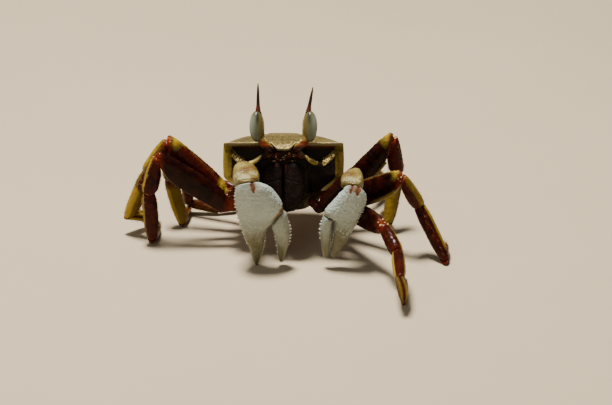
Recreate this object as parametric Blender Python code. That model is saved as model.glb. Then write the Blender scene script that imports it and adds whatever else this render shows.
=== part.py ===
"""A horned ghost crab, life size, standing alert on its eight walking legs with its eyes raised.

Lengths here are millimetres, and mesh_object writes them as metres. X runs to the crab's left,
Y to its rear and Z up, the floor is Z = 0, and the origin is under the middle of the whole animal.
Points on the body are given as (across, behind the front margin, above it), and points of the
limbs as (across, forward, up).
"""

import math

import bmesh
import bpy
import numpy as np

MM = 0.001
GAP = 0.32
WELD = 0.004

# Body, from the carapace width of a full grown crab.
CARAPACE_WIDTH = 45.0
HALF_WIDTH = CARAPACE_WIDTH / 2
CARAPACE_LENGTH = 0.87 * CARAPACE_WIDTH
BODY_DEPTH = 0.59 * CARAPACE_WIDTH
FRONT_HEIGHT = 45.0
BODY_PITCH = math.radians(20)
BACK_ARCH = 2.4
REAR_DROP = 6.0
FLANK_DROOP = 0.1
FACE_HALF_WIDTH = 20.0
REAR_HALF_WIDTH = 12.4
WALL_FOOT = -19.5
WALL_FOOT_RISE = 0.12
SIDE_REAR = 35.5
REAR_TUCK = 4.4
ORBIT_DEPTH = 4.0
MOUTH_HALF_WIDTH = 8.7
MOUTH_TOP = -6.4

# The whole animal is moved so that its box is centred over the origin.
CENTRE_X = 0.74
CENTRE_FORWARD = -1.52

# Walking legs: lengths of merus, carpus, propodus and dactylus, and how stout each leg is.
LEG_LENGTHS = {2: (32.0, 14.0, 18.5, 15.0), 3: (32.5, 14.5, 21.0, 16.0),
               4: (29.0, 13.0, 18.5, 15.5), 5: (21.0, 9.5, 12.0, 11.0)}
MERUS_STOUTNESS = {2: 1.0, 3: 1.04, 4: 1.0, 5: 0.68}
LEG_STOUTNESS = {2: 1.0, 3: 1.0, 4: 0.95, 5: 0.68}
COXA = {1: (10.5, 6.0, -22.5), 2: (14.0, 14.0, -21.5), 3: (15.5, 20.5, -20.5),
        4: (15.0, 27.0, -19.3), 5: (12.5, 33.0, -18.3)}
MERUS_BASE = {2: (21.8, 14.0, -24.4), 3: (23.0, 20.5, -23.8),
              4: (22.0, 27.0, -22.3), 5: (18.5, 33.0, -20.2)}
COXA_RADIUS = 2.3
COXA_HEADING = {1: 40, 2: 12, 3: 2, 4: -8, 5: -22}
COXA_TILT = -3
COXA_STUB = 5.0

# Pose of each leg: heading and rise in degrees of merus, carpus and propodus, then the heading of
# the dactylus, which reaches the floor. Heading 0 is straight out, 90 is forward.
LEG_POSE = {
    ("right", 2): ((0, 35), (0, -76), (-155, -86), -98),
    ("right", 3): ((3, 48.5), (-8, -59), (-28, -67.5), -144),
    ("right", 4): ((-12, 40.5), (90, -80), (-162, -75.4), -100),
    ("right", 5): ((-22, -2), (-135, -78), (174, -12), -165),
    ("left", 2): ((59, 5), (68, -20), (88, -4), -74),
    ("left", 3): ((37, 31), (-27, -60), (41, -54), -91),
    ("left", 4): ((-6, 47.5), (-14, -81), (124, -72.7), -100),
    ("left", 5): ((-45, 3), (-60, -35), (-75, -38), -150),
}

# Outline of each piece of a walking leg in its own plane: fraction of the length, lower edge,
# upper edge and half thickness.
ISCHIUM_SHAPE = ((0.0, -2.0, 2.0, 1.9), (0.5, -2.4, 2.3, 1.9), (1.0, -3.2, 2.9, 2.0))
MERUS_SHAPE = ((0.18, -4.3, 4.1, 2.1), (0.5, -4.6, 4.6, 2.2), (0.8, -4.1, 4.3, 2.1),
               (0.92, -3.3, 3.4, 2.0), (1.0, -2.3, 1.4, 1.6))
CARPUS_SHAPE = ((0.0, -2.0, 1.4, 1.7), (0.14, -2.4, 2.5, 2.1), (0.4, -2.7, 3.0, 2.4),
                (0.78, -2.9, 3.0, 2.5), (1.0, -2.3, 2.3, 2.1))
PROPODUS_SHAPE = ((0.0, -2.2, 2.2, 1.9), (0.25, -2.7, 2.7, 2.35), (0.7, -2.6, 2.6, 2.3),
                  (1.0, -2.0, 2.0, 1.9))
DACTYLUS_SHAPE = ((0.0, -1.8, 1.8, 1.8), (0.3, -2.1, 2.1, 2.2), (0.6, -1.7, 1.7, 1.9),
                  (0.85, -1.0, 1.0, 1.1), (1.0, -0.45, 0.45, 0.5))
DACTYLUS_ARCH = 1.2

# Chelipeds: places of elbow, wrist and finger tips, and the outline of each claw as stations of
# (distance from the wrist, lower edge, upper edge, half thickness).
CLAW = {
    "right": {
        "base": (-13.0, 6.5, 20.5), "elbow": (-14.8, 8.0, 38.0), "wrist": (-13.6, 17.4, 35.9),
        "tip": (-10.6, 13.0, 0.0), "upper_side": 1, "size": 1.0, "finger_plane": (0.63, 0.77),
        "palm": ((0.0, -4.1, 5.2, 3.0), (2.5, -4.7, 8.6, 3.9), (6.0, -5.0, 10.8, 4.1),
                 (9.0, -4.9, 12.1, 4.1), (12.2, -4.6, 12.5, 3.9), (15.0, -4.3, 10.2, 3.6),
                 (18.4, -3.8, 7.1, 3.2), (20.5, -3.5, 5.3, 2.8), (24.5, -2.8, 4.4, 2.5),
                 (28.5, -1.6, 3.5, 2.1), (32.5, -0.8, 2.2, 1.5), (35.2, -0.3, 1.1, 0.8)),
        "finger": ((15.7, 7.6, 12.5, 2.6), (17.4, 7.6, 13.6, 2.9), (20.0, 8.1, 14.1, 2.9),
                   (23.3, 8.6, 14.0, 2.6), (27.0, 8.9, 13.5, 2.2), (31.0, 8.9, 12.2, 1.6),
                   (34.2, 9.1, 10.9, 0.9)),
    },
    "left": {
        "base": (13.5, 5.0, 20.5), "elbow": (26.0, 6.5, 35.2), "wrist": (26.1, 16.0, 34.2),
        "tip": (18.9, 15.2, 4.0), "upper_side": -1, "size": 0.84, "finger_plane": (0.95, 0.31),
        "palm": ((0.0, -3.5, 2.4, 2.4), (2.0, -5.6, 3.0, 3.3), (4.4, -6.3, 4.2, 3.5),
                 (8.3, -6.0, 5.9, 3.4), (12.2, -5.3, 7.6, 3.1), (13.3, -5.1, 7.8, 2.9),
                 (14.8, -4.9, 3.0, 2.6), (17.6, -4.3, 2.6, 2.3), (22.0, -3.5, 2.0, 1.9),
                 (26.5, -2.1, 1.6, 1.5), (29.3, -1.1, 1.3, 1.0)),
        "finger": ((14.6, 3.9, 7.7, 2.4), (16.5, 4.0, 7.8, 2.4), (20.7, 3.4, 7.3, 2.1),
                   (25.0, 2.7, 6.3, 1.7), (28.3, 2.3, 5.2, 1.2), (30.2, 2.3, 4.2, 0.8)),
    },
}
TIP_RADIUS = 0.45
TIP_LENGTH = 1.4

# Arm and wrist of both claws, before each claw's size: half width at each section of the arm, and
# the wrist's outline as share of its length, lower edge, upper edge and half thickness.
CLAW_ARM_SHARES = (0.3, 0.7, 1.0)
CLAW_ARM_HALF = (2.1, 2.3, 2.7, 3.1, 3.3, 2.7)
CLAW_ARM_FLATNESS = 0.9
CLAW_WRIST = ((0.0, -2.6, 2.1, 3.3), (0.28, -4.0, 3.1, 4.7), (0.62, -4.3, 3.7, 5.0),
              (0.86, -3.9, 3.7, 4.6), (1.0, -2.8, 2.9, 3.3))
CLAW_WRIST_POWER = 2.9

# Teeth of the claws, one row to a line: piece, edge, first and last share of that edge, number and
# height. Each is a blunt cone with its root sunk into the piece.
CLAW_TEETH = {
    "right": (("palm", "lower", 0.05, 0.48, 13, 0.42), ("palm", "upper", 0.64, 0.92, 10, 0.5),
              ("finger", "lower", 0.26, 0.84, 10, 0.5), ("finger", "upper", 0.34, 0.7, 7, 0.45)),
    "left": (("palm", "lower", 0.06, 0.56, 12, 0.36), ("palm", "upper", 0.66, 0.9, 8, 0.26),
             ("finger", "lower", 0.26, 0.84, 9, 0.26), ("finger", "upper", 0.34, 0.7, 6, 0.3)),
}
TOOTH_RADIUS = 0.46
TOOTH_TIP = 0.35
TOOTH_ROOT = 0.8
TOOTH_SIDES = 5
TEETH_SEED = 11

# Breastplate, at its top: half width, front and rear, and how far each has moved at its bottom.
THORAX_HALF_WIDTH = 14.0
THORAX_ENDS = (3.4, 32.5)
THORAX_TAPER = (4.0, 1.2, 6.0)
THORAX_SQUARENESS = 0.7
THORAX_BOTTOM_RISE = 0.14

# Outer mouth leg of the left side: height, middle, half width and front of each section.
MAXILLIPED = ((-7.6, 3.1, 2.4, -0.1), (-9.2, 4.0, 3.6, -0.7), (-14.0, 4.3, 3.9, -1.0),
              (-20.0, 4.0, 3.6, -0.9), (-24.0, 3.2, 2.8, -0.5), (-26.0, 2.2, 1.7, 0.0))
MAXILLIPED_BACK = 2.25

# Tail plate along the body's middle: behind, above, half width and half thickness.
ABDOMEN = ((40.1, -8.4, 7.4, 0.8), (39.7, -12.0, 7.4, 0.9), (38.0, -16.0, 7.0, 0.9),
           (34.6, -20.2, 6.4, 0.9), (29.0, -23.8, 5.4, 0.9), (20.0, -25.4, 4.2, 0.9),
           (10.0, -26.7, 2.0, 0.7))

# Eyes, in body places for the left side.
STALK_PATH = ((4.6, 0.6, -3.0), (4.9, -1.4, -2.4), (6.0, -3.1, -1.0), (7.7, -3.5, 0.5),
              (8.8, -3.0, 2.8), (9.0, -2.3, 7.2), (9.6, -2.8, 12.6))
STALK_RADII = (1.35, 1.45, 1.6, 1.65, 1.7, 1.8, 1.1)
CORNEA_CENTRE = (10.2, -3.9, 6.7)
CORNEA_RADII = (2.7, 2.7, 5.9)
HORN_BASE = (9.6, -3.0, 12.95)
HORN_TIP = {"right": (9.6, -3.9, 23.1), "left": (11.2, -3.9, 21.7)}
HORN_SHAPE = ((0.0, 1.05), (0.08, 0.95), (0.22, 0.72), (0.52, 0.58), (0.83, 0.36), (1.0, 0.18))

SIDES = {"right": -1, "left": 1}
UP = np.array([0.0, 0.0, 1.0])

COLOURS = {
    "shell": ((0.21, 0.17, 0.07), 0.55),
    "underside": ((0.30, 0.13, 0.07), 0.5),
    "mouth": ((0.05, 0.01, 0.008), 0.35),
    "leg": ((0.06, 0.012, 0.008), 0.35),
    "leg_pale": ((0.34, 0.22, 0.04), 0.4),
    "claw": ((0.72, 0.68, 0.55), 0.45),
    "wrist": ((0.46, 0.33, 0.16), 0.45),
    "stalk": ((0.42, 0.16, 0.06), 0.45),
    "cornea": ((0.16, 0.19, 0.17), 0.12),
    "horn": ((0.14, 0.02, 0.02), 0.4),
}


def unit(vector):
    """The vector at length one."""
    vector = np.asarray(vector, float)
    return vector / np.linalg.norm(vector)


def smooth(start, end, value):
    """Rises from 0 at start to 1 at end, level at both."""
    t = np.clip((value - start) / (end - start), 0.0, 1.0)
    return t * t * (3 - 2 * t)


def on_body(points):
    """World places of body points: the body is pitched up about its front margin."""
    points = np.asarray(points, float)
    across, behind, above = points[..., 0], points[..., 1], points[..., 2]
    rear = behind * math.cos(BODY_PITCH) + above * math.sin(BODY_PITCH)
    height = FRONT_HEIGHT - behind * math.sin(BODY_PITCH) + above * math.cos(BODY_PITCH)
    return np.stack([across - CENTRE_X, rear + CENTRE_FORWARD, height], axis=-1)


def in_world(point):
    """World place of a limb point given as across, forward and up."""
    return np.array([point[0] - CENTRE_X, CENTRE_FORWARD - point[1], point[2]])


def mirrored(point, side):
    """A body point of the left side, on the side asked for."""
    return np.array([point[0] * SIDES[side], point[1], point[2]])


def material(name):
    """The Principled material of a finish, made once."""
    found = bpy.data.materials.get(name)
    if found:
        return found
    colour, roughness = COLOURS[name]
    made = bpy.data.materials.new(name)
    made.use_nodes = True
    shader = made.node_tree.nodes["Principled BSDF"]
    shader.inputs["Base Color"].default_value = (*colour, 1.0)
    shader.inputs["Roughness"].default_value = roughness
    shader.inputs["Metallic"].default_value = 0.0
    made.diffuse_color = (*colour, 1.0)
    return made


def mesh_object(name, vertices, faces, finish, smooth_angle=40):
    """A named object from millimetre points, with its faces turned outwards."""
    points = np.asarray(vertices, float)
    triangles = [(f[0], f[i], f[i + 1]) for f in faces for i in range(1, len(f) - 1)]
    corner = points[np.array(triangles)]
    volume = np.einsum("ij,ij->i", corner[:, 0], np.cross(corner[:, 1], corner[:, 2])).sum()
    if volume < 0:
        faces = [tuple(reversed(face)) for face in faces]
    mesh = bpy.data.meshes.new(name)
    mesh.from_pydata((points * MM).tolist(), [], faces)
    mesh.materials.append(material(finish))
    mesh.shade_smooth()
    mesh.set_sharp_from_angle(angle=math.radians(smooth_angle))
    made = bpy.data.objects.new(name, mesh)
    bpy.context.collection.objects.link(made)
    return made


def rings_to_mesh(rings):
    """Points and faces of a closed skin over rings of equal count, with a pole at each end."""
    rings = np.asarray(rings, float)
    count, around = rings.shape[:2]
    vertices = np.vstack([rings.reshape(-1, 3), rings[0].mean(axis=0), rings[-1].mean(axis=0)])
    first_pole, last_pole = count * around, count * around + 1
    faces = []
    for row in range(count - 1):
        for step in range(around):
            following = (step + 1) % around
            faces.append((row * around + step, row * around + following,
                          (row + 1) * around + following, (row + 1) * around + step))
    last_row = (count - 1) * around
    for step in range(around):
        following = (step + 1) % around
        faces.append((following, step, first_pole))
        faces.append((last_row + step, last_row + following, last_pole))
    return vertices, faces


def apply_boolean(target, others, operation):
    """Cuts or joins others with target for good, and removes them."""
    group = bpy.data.collections.new(target.name + "_tools")
    bpy.context.scene.collection.children.link(group)
    for other in others:
        for held in list(other.users_collection):
            held.objects.unlink(other)
        group.objects.link(other)
    change = target.modifiers.new("shape", "BOOLEAN")
    change.operation = operation
    change.operand_type = "COLLECTION"
    change.collection = group
    change.solver = "EXACT"
    bpy.context.view_layer.update()
    evaluated = target.evaluated_get(bpy.context.evaluated_depsgraph_get())
    result = bpy.data.meshes.new_from_object(evaluated)
    target.modifiers.clear()
    target.data = result
    for other in others:
        bpy.data.objects.remove(other)
    bpy.data.collections.remove(group)
    keep_largest(result)


def keep_largest(mesh):
    """Welds a cut or joined mesh and drops all but its largest closed surface."""
    work = bmesh.new()
    work.from_mesh(mesh)
    bmesh.ops.remove_doubles(work, verts=work.verts, dist=WELD * MM)
    bmesh.ops.dissolve_degenerate(work, edges=work.edges, dist=WELD * MM)
    bmesh.ops.triangulate(work, faces=work.faces)
    surfaces, left = [], set(work.faces)
    while left:
        surface, frontier = set(), [left.pop()]
        while frontier:
            face_now = frontier.pop()
            surface.add(face_now)
            for edge in face_now.edges:
                for neighbour in edge.link_faces:
                    if neighbour in left:
                        left.remove(neighbour)
                        frontier.append(neighbour)
        surfaces.append(surface)
    surfaces.sort(key=lambda faces: sum(f.calc_area() for f in faces))
    for surface in surfaces[:-1]:
        bmesh.ops.delete(work, geom=list(surface), context="FACES")
    work.to_mesh(mesh)
    work.free()


def section(sides, power=2.4):
    """Unit points around a rounded section, as (thickness, height) shares."""
    turn = np.arange(sides) * 2 * math.pi / sides + math.pi / sides
    across, tall = np.cos(turn), np.sin(turn)
    return (np.sign(across) * np.abs(across) ** (2 / power),
            np.sign(tall) * np.abs(tall) ** (2 / power))


def limb_rings(centres, tangents, dorsal, lower, upper, thick, start_plane, end_plane,
               sides=12, power=2.4, reach=0.45):
    """Rings of a limb piece.

    Each ring is a rounded section from lower to upper along the dorsal direction and thick to
    either side. Near an end the ring is slid along the limb, point by point, so that the end ring
    lies in the plane it is given by its normal. The slide fades out over reach of the length.
    """
    centres = np.asarray(centres, float)
    across, tall = section(sides, power)
    run = np.concatenate([[0], np.cumsum(np.linalg.norm(np.diff(centres, axis=0), axis=1))])
    run /= run[-1]
    rings = []
    for i, centre in enumerate(centres):
        along = unit(tangents[i])
        up = unit(dorsal - np.dot(dorsal, along) * along)
        side = np.cross(along, up)
        middle, half = (upper[i] + lower[i]) / 2, (upper[i] - lower[i]) / 2
        offset = np.outer(across * thick[i], side) + np.outer(middle + tall * half, up)
        slide = np.zeros(sides)
        for plane, fade in ((start_plane, 1 - run[i] / reach), (end_plane, 1 - (1 - run[i]) / reach)):
            if plane is not None and fade > 0:
                slide -= fade * (offset @ plane) / np.dot(along, plane)
        rings.append(centre + offset + np.outer(slide, along))
    return np.array(rings)


def mitre(first, second):
    """Normal of the plane that two limb pieces share at their joint."""
    return unit(unit(first) + unit(second))


def clear_of(joint, direction, plane):
    """The joint moved along direction by half the gap, measured square to the plane."""
    return joint + direction * (GAP / 2) / np.dot(direction, plane)


def leg_piece(name, start, end, dorsal, shape, size, start_plane, end_plane, finish, sides=10):
    """One straight piece of a walking leg between two joints."""
    along = unit(end - start)
    first = clear_of(start, along, start_plane)
    last = clear_of(end, -along, -end_plane)
    shares, lower, upper, thick = np.array(shape).T
    centres = first + np.outer(shares, last - first)
    rings = limb_rings(centres, [along] * len(shares), dorsal, lower * size, upper * size,
                       thick * size, start_plane, end_plane, sides)
    mesh_object(name, *rings_to_mesh(rings), finish)


def direction(side, heading, rise):
    """Unit direction from a heading out from the body and a rise, in degrees."""
    heading, rise = math.radians(heading), math.radians(rise)
    out = math.cos(rise) * math.cos(heading) * SIDES[side]
    return np.array([out, -math.cos(rise) * math.sin(heading), math.sin(rise)])


def leg_joints(side, number):
    """Coxa, merus base, knee, wrist, ankle and toe of a walking leg, in the world."""
    coxa = on_body(mirrored(COXA[number], side))
    base = on_body(mirrored(MERUS_BASE[number], side))
    joints = [coxa, base]
    *bends, toe_heading = LEG_POSE[side, number]
    lengths = LEG_LENGTHS[number]
    for length, (heading, rise) in zip(lengths, bends):
        joints.append(joints[-1] + length * direction(side, heading, rise))
    ankle = joints[-1]
    fall = -math.degrees(math.asin(ankle[2] / lengths[3]))
    joints.append(ankle + lengths[3] * direction(side, toe_heading, fall))
    return joints


def coxa_plane(side, number, towards):
    """Outward direction of a coxa, and the plane between it and the limb it carries."""
    turn, tilt = math.radians(COXA_HEADING[number]), math.radians(COXA_TILT)
    local = np.array([math.cos(turn) * math.cos(tilt) * SIDES[side],
                      -math.sin(turn) * math.cos(tilt), math.sin(tilt)])
    outward = unit(on_body(local) - on_body(np.zeros(3)))
    return outward, mitre(outward, towards)


def make_leg(side, number):
    """The four nodes of a walking leg: merus with ischium, carpus, propodus and dactylus."""
    coxa, base, knee, wrist, ankle, toe = leg_joints(side, number)
    size = LEG_STOUTNESS[number]
    merus_size = MERUS_STOUTNESS[number]
    name = f"leg_{number}_{side}_"
    plane_normal = unit(np.cross(knee - base, UP))

    def dorsal_of(start, end):
        return unit(np.cross(plane_normal, end - start))

    # Merus, fused with the short ischium that carries it.
    root = unit(base - coxa)
    along = unit(knee - base)
    start_plane = coxa_plane(side, number, root)[1]
    end_plane = mitre(along, wrist - knee)
    first = clear_of(coxa, root, start_plane)
    last = clear_of(knee, -along, -end_plane)
    centres = [first + (base - first) * row[0] for row in ISCHIUM_SHAPE]
    centres += [base + (last - base) * row[0] for row in MERUS_SHAPE]
    tangents = [root, root, mitre(root, along)] + [along] * len(MERUS_SHAPE)
    lower, upper, thick = np.array(ISCHIUM_SHAPE + MERUS_SHAPE).T[1:] * merus_size
    rings = limb_rings(centres, tangents, dorsal_of(base, knee), lower, upper, thick,
                       start_plane, end_plane, 12, reach=0.2)
    mesh_object(name + "merus", *rings_to_mesh(rings), "leg")

    carpus_end = mitre(wrist - knee, ankle - wrist)
    leg_piece(name + "carpus", knee, wrist, dorsal_of(knee, wrist), CARPUS_SHAPE, size,
              end_plane, carpus_end, "leg_pale")
    propodus_end = mitre(ankle - wrist, toe - ankle)
    leg_piece(name + "propodus", wrist, ankle, dorsal_of(wrist, ankle), PROPODUS_SHAPE, size,
              carpus_end, propodus_end, "leg")
    make_dactylus(name + "dactylus", ankle, toe, dorsal_of(wrist, ankle), propodus_end, size)


def make_dactylus(name, ankle, toe, dorsal, start_plane, size):
    """The curved last piece of a leg, whose tip ends in a small flat on the floor."""
    chord = toe - ankle
    along = unit(chord)
    first = clear_of(ankle, along, start_plane)
    arch = unit(np.cross(np.cross(along, UP), along))
    fractions, lower, upper, thick = np.array(DACTYLUS_SHAPE).T
    rise = 4 * DACTYLUS_ARCH * fractions * (1 - fractions)
    centres = first + np.outer(fractions, toe - first) + np.outer(rise, arch)
    slopes = 4 * DACTYLUS_ARCH * (1 - 2 * fractions)
    tangents = np.linalg.norm(chord) * along + np.outer(slopes, arch)
    rings = limb_rings(centres, tangents, arch, lower * size, upper * size, thick * size,
                       start_plane, -UP, 10, reach=0.3)
    mesh_object(name, *rings_to_mesh(rings), "leg_pale")


def back_height(across, behind):
    """Height of the back over the front margin: a low arch across, falling away at the rear."""
    outward = np.abs(across / HALF_WIDTH)
    arch = BACK_ARCH * (1 - outward ** 2.2) * smooth(-2, 12, behind)
    droop = FLANK_DROOP * np.clip(behind, 0, 22) * outward ** 3
    fall = np.clip((behind - 20) / (CARAPACE_LENGTH - 20), 0, 1) ** 1.7
    return arch - droop - REAR_DROP * fall


def flank(behind):
    """Half width of the carapace margin: nearly straight sides that close in behind."""
    bulge = 0.3 * np.sin(math.pi * np.clip(behind / 24, 0, 1))
    closing = np.clip((behind - 16) / 21, 0, 1) ** 1.8
    return HALF_WIDTH + bulge - 9.4 * closing


def orbit(across, above):
    """Share of the orbit's depth at a place of the face: a long trough under the front margin."""
    across = np.abs(across)
    lower_edge = -8 + 0.1 * (across - 13.5) ** 2
    inside_across = smooth(5.5, 8, across) * smooth(22.2, 20.3, across)
    inside_height = smooth(-0.4, -1.2, above) * smooth(lower_edge - 0.2, lower_edge + 1.4, above)
    return inside_across * inside_height


def face(across, above):
    """How far behind the front margin the face lies: orbits, mouth field and receding cheeks."""
    across = np.abs(across)
    bow = 1.2 + 0.0035 * across ** 2
    mouth = 1.8 * smooth(9.6, MOUTH_HALF_WIDTH, across) * smooth(MOUTH_TOP + 0.6, MOUTH_TOP, above)
    cheek = 5.0 * smooth(-12, -19, above) * smooth(8.9, 11, across)
    return bow + ORBIT_DEPTH * orbit(across, above) + mouth + cheek


def carapace_ring(depth):
    """One ring of the carapace wall, depth 0 at the margin and 1 at its lower edge."""
    front_across = np.array([0, 1.6, 3.2, 4.8, 6.6, 8.7, 9.6, 12, 15, 18, 20.5, 22.3])
    side_behind = np.array([2.5, 6, 11, 16, 21, 26, 31, SIDE_REAR])
    rear_share = np.array([0.98, 0.7, 0.35, 0.0])
    lobe = 1 - smooth(2.0, 5.2, front_across)
    margin_front = 0.3 + 1.0 * np.sin(math.pi * front_across / 22.3) ** 2 - 2.9 * lobe
    tuck = 1 - 0.3 * smooth(0.68, 1.05, depth)

    # Front: the margin overhangs the face, with the lobe between the eyes bent down.
    margin_height = 0.1 - 1.9 * lobe
    foot = WALL_FOOT + WALL_FOOT_RISE * face(front_across * tuck, np.full(12, WALL_FOOT))
    above = margin_height + depth * (foot - margin_height)
    corner = FACE_HALF_WIDTH + (22.3 - FACE_HALF_WIDTH) * smooth(0.08, 0, depth)
    across = front_across * np.where(front_across > 9.6, corner / 22.3, 1) * tuck
    leave = smooth(0.0, 0.05, depth)
    behind = margin_front * (1 - leave) + face(across, above) * leave
    front = np.stack([across, behind, above], axis=1)

    # Side: the wall starts at the edge of the face and swells to the flank.
    start = max(side_behind[0], behind[-1] + 0.4)
    side_behind = start + (side_behind - side_behind[0]) * (SIDE_REAR - start) / (SIDE_REAR - 2.5)
    flank_across = flank(side_behind)
    edge = 2.3 * smooth(8, 1, side_behind) * smooth(0, 0.08, depth)
    swell = 0.2 * math.sin(math.pi * min(depth / 0.7, 1))
    margin_height = back_height(flank_across, side_behind)
    rear_tuck = REAR_TUCK * smooth(16, SIDE_REAR, side_behind)
    foot = WALL_FOOT + WALL_FOOT_RISE * (side_behind - rear_tuck)
    side = np.stack([(flank_across - edge + swell) * tuck,
                     side_behind - rear_tuck * smooth(0.1, 1, depth),
                     margin_height + depth * (foot - margin_height)], axis=1)

    # Rear: a straight edge that slopes forward as it goes down.
    rear_across = REAR_HALF_WIDTH * rear_share
    rear_behind = CARAPACE_LENGTH - 0.9 * rear_share ** 4
    margin_height = back_height(rear_across, rear_behind)
    foot = WALL_FOOT + WALL_FOOT_RISE * (rear_behind - REAR_TUCK)
    rear = np.stack([rear_across * tuck, rear_behind - REAR_TUCK * smooth(0.1, 1, depth),
                     margin_height + depth * (foot - margin_height)], axis=1)

    half = np.vstack([front, side, rear])
    other = half[-2:0:-1] * np.array([-1, 1, 1])
    return np.vstack([half, other])


def make_carapace():
    """Back, walls and face of the body in one piece, with open orbits under the front margin."""
    margin = carapace_ring(0.0)
    centre = np.array([0, 18.0, 0])
    rings = []
    for share in (0.1, 0.3, 0.52, 0.72, 0.88, 0.97):
        ring = centre + share * (margin - centre)
        ring[:, 2] = back_height(ring[:, 0], ring[:, 1])
        near_margin = smooth(0.72, 1.0, share)
        ring[:, 2] += near_margin * (margin[:, 2] - back_height(margin[:, 0], margin[:, 1]))
        rings.append(ring)
    for depth in (0, 0.028, 0.07, 0.155, 0.26, 0.34, 0.42, 0.52, 0.67, 0.82, 1.0):
        rings.append(carapace_ring(depth))
    mesh_object("carapace", *rings_to_mesh(on_body(rings)), "shell")


def make_thorax():
    """The breastplate under the carapace, fused with the ten coxae that carry the limbs."""
    rings = []
    narrowing, front_moves, rear_moves = THORAX_TAPER
    for depth in (0.0, 0.35, 0.7, 1.0):
        turn = np.arange(28) * 2 * math.pi / 28
        across, lengthways = np.cos(turn), np.sin(turn)
        across = np.sign(across) * np.abs(across) ** THORAX_SQUARENESS
        lengthways = np.sign(lengthways) * np.abs(lengthways) ** THORAX_SQUARENESS
        half_width = THORAX_HALF_WIDTH - narrowing * depth ** 2
        front = THORAX_ENDS[0] + front_moves * depth
        rear = THORAX_ENDS[1] - rear_moves * depth
        behind = (front + rear) / 2 + (rear - front) / 2 * lengthways
        narrow = 1 - 0.22 * smooth(20, 33, behind)
        top = WALL_FOOT + WALL_FOOT_RISE * behind - GAP
        bottom = -BODY_DEPTH + THORAX_BOTTOM_RISE * behind
        rings.append(np.stack([half_width * across * narrow, behind,
                               top + depth * (bottom - top)], axis=1))
    thorax = mesh_object("thorax", *rings_to_mesh(on_body(rings)), "underside")
    stubs = []
    for side in SIDES:
        for number in COXA:
            stubs.append(make_coxa(side, number))
    apply_boolean(thorax, stubs, "UNION")


def make_coxa(side, number):
    """A stub from inside the breastplate out to the joint of a limb."""
    if number == 1:
        joint = on_body(mirrored(COXA[1], side))
        towards = in_world(CLAW[side]["base"]) - joint
    else:
        joint, base = leg_joints(side, number)[:2]
        towards = base - joint
    outward, plane = coxa_plane(side, number, towards)
    end = clear_of(joint, -outward, -plane)
    centres = [end - outward * COXA_STUB, end - outward * COXA_STUB * 0.4, end]
    radius = np.array([0.9, 1.1, 0.9]) * COXA_RADIUS * (0.85 if number == 5 else 1.0)
    rings = limb_rings(centres, [outward] * 3, UP, -radius, radius, radius, None, plane, 10)
    return mesh_object(f"coxa_{number}_{side}", *rings_to_mesh(rings), "underside")


def make_abdomen():
    """The narrow tail plate, bent down behind and folded forward under the breastplate."""
    behind, above, half_width, half_thick = np.array(ABDOMEN).T
    path = np.stack([np.zeros(len(ABDOMEN)), behind, above], axis=1)
    tangents = np.gradient(path, axis=0)
    rings = []
    across, tall = section(12, 3.0)
    for centre, tangent, wide, thick in zip(path, tangents, half_width, half_thick):
        outward = unit(np.array([0, -tangent[2], tangent[1]]))
        rings.append(centre + np.outer(across * wide, [1, 0, 0]) + np.outer(tall * thick, outward))
    mesh_object("abdomen", *rings_to_mesh(on_body(rings)), "underside")


def make_maxilliped(side):
    """One of the two plates that close the mouth."""
    across, tall = section(12, 3.2)
    back = MAXILLIPED_BACK
    rings = []
    for above, middle, wide, front in MAXILLIPED:
        behind = (back + front) / 2 + tall * (back - front) / 2
        ring = np.stack([(middle + across * wide) * SIDES[side], behind,
                         np.full(12, above)], axis=1)
        rings.append(ring)
    mesh_object(f"maxilliped_{side}", *rings_to_mesh(on_body(rings)), "mouth")


def ellipsoid_rings(centre, radii, grow=0.0, rows=9, sides=14):
    """Rings of an upright ellipsoid, larger all round by grow."""
    latitude = np.linspace(-0.46, 0.46, rows) * math.pi
    turn = (np.arange(sides) + 0.3) * 2 * math.pi / sides
    wide, deep, tall = (radius + grow for radius in radii)
    rings = []
    for angle in latitude:
        rings.append(np.stack([centre[0] + wide * math.cos(angle) * np.cos(turn),
                               centre[1] + deep * math.cos(angle) * np.sin(turn),
                               np.full(sides, centre[2] + tall * math.sin(angle))], axis=1))
    return np.array(rings)


def make_eye(side):
    """Eyestalk, cornea and the horn that the stalk carries past the cornea."""
    path = np.array([mirrored(point, side) for point in STALK_PATH])
    rings = []
    turn = np.arange(12) * 2 * math.pi / 12
    tangents = np.gradient(path, axis=0)
    tangents[0] = (0, -1, 0)
    for centre, tangent, radius in zip(path, tangents, STALK_RADII):
        along = unit(tangent)
        across = unit(np.cross(along, (0.0, 1.0, 0.35)))
        other = np.cross(across, along)
        rings.append(centre + radius * (np.outer(np.cos(turn), across)
                                        + np.outer(np.sin(turn), other)))
    stalk = mesh_object(f"eyestalk_{side}", *rings_to_mesh(on_body(rings)), "stalk")
    centre = mirrored(CORNEA_CENTRE, side)
    room = ellipsoid_rings(centre, CORNEA_RADII, GAP)
    cutter = mesh_object(f"eye_room_{side}", *rings_to_mesh(on_body(room)), "cornea")
    apply_boolean(stalk, [cutter], "DIFFERENCE")
    globe = ellipsoid_rings(centre, CORNEA_RADII)
    mesh_object(f"eye_{side}", *rings_to_mesh(on_body(globe)), "cornea", smooth_angle=80)

    base, tip = mirrored(HORN_BASE, side), mirrored(HORN_TIP[side], side)
    spire = []
    for share, radius in HORN_SHAPE:
        centre = base + (tip - base) * share
        spire.append(np.stack([centre[0] + radius * np.cos(turn), centre[1] + radius * np.sin(turn),
                               np.full(12, centre[2])], axis=1))
    mesh_object(f"horn_{side}", *rings_to_mesh(on_body(spire)), "horn")


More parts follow.
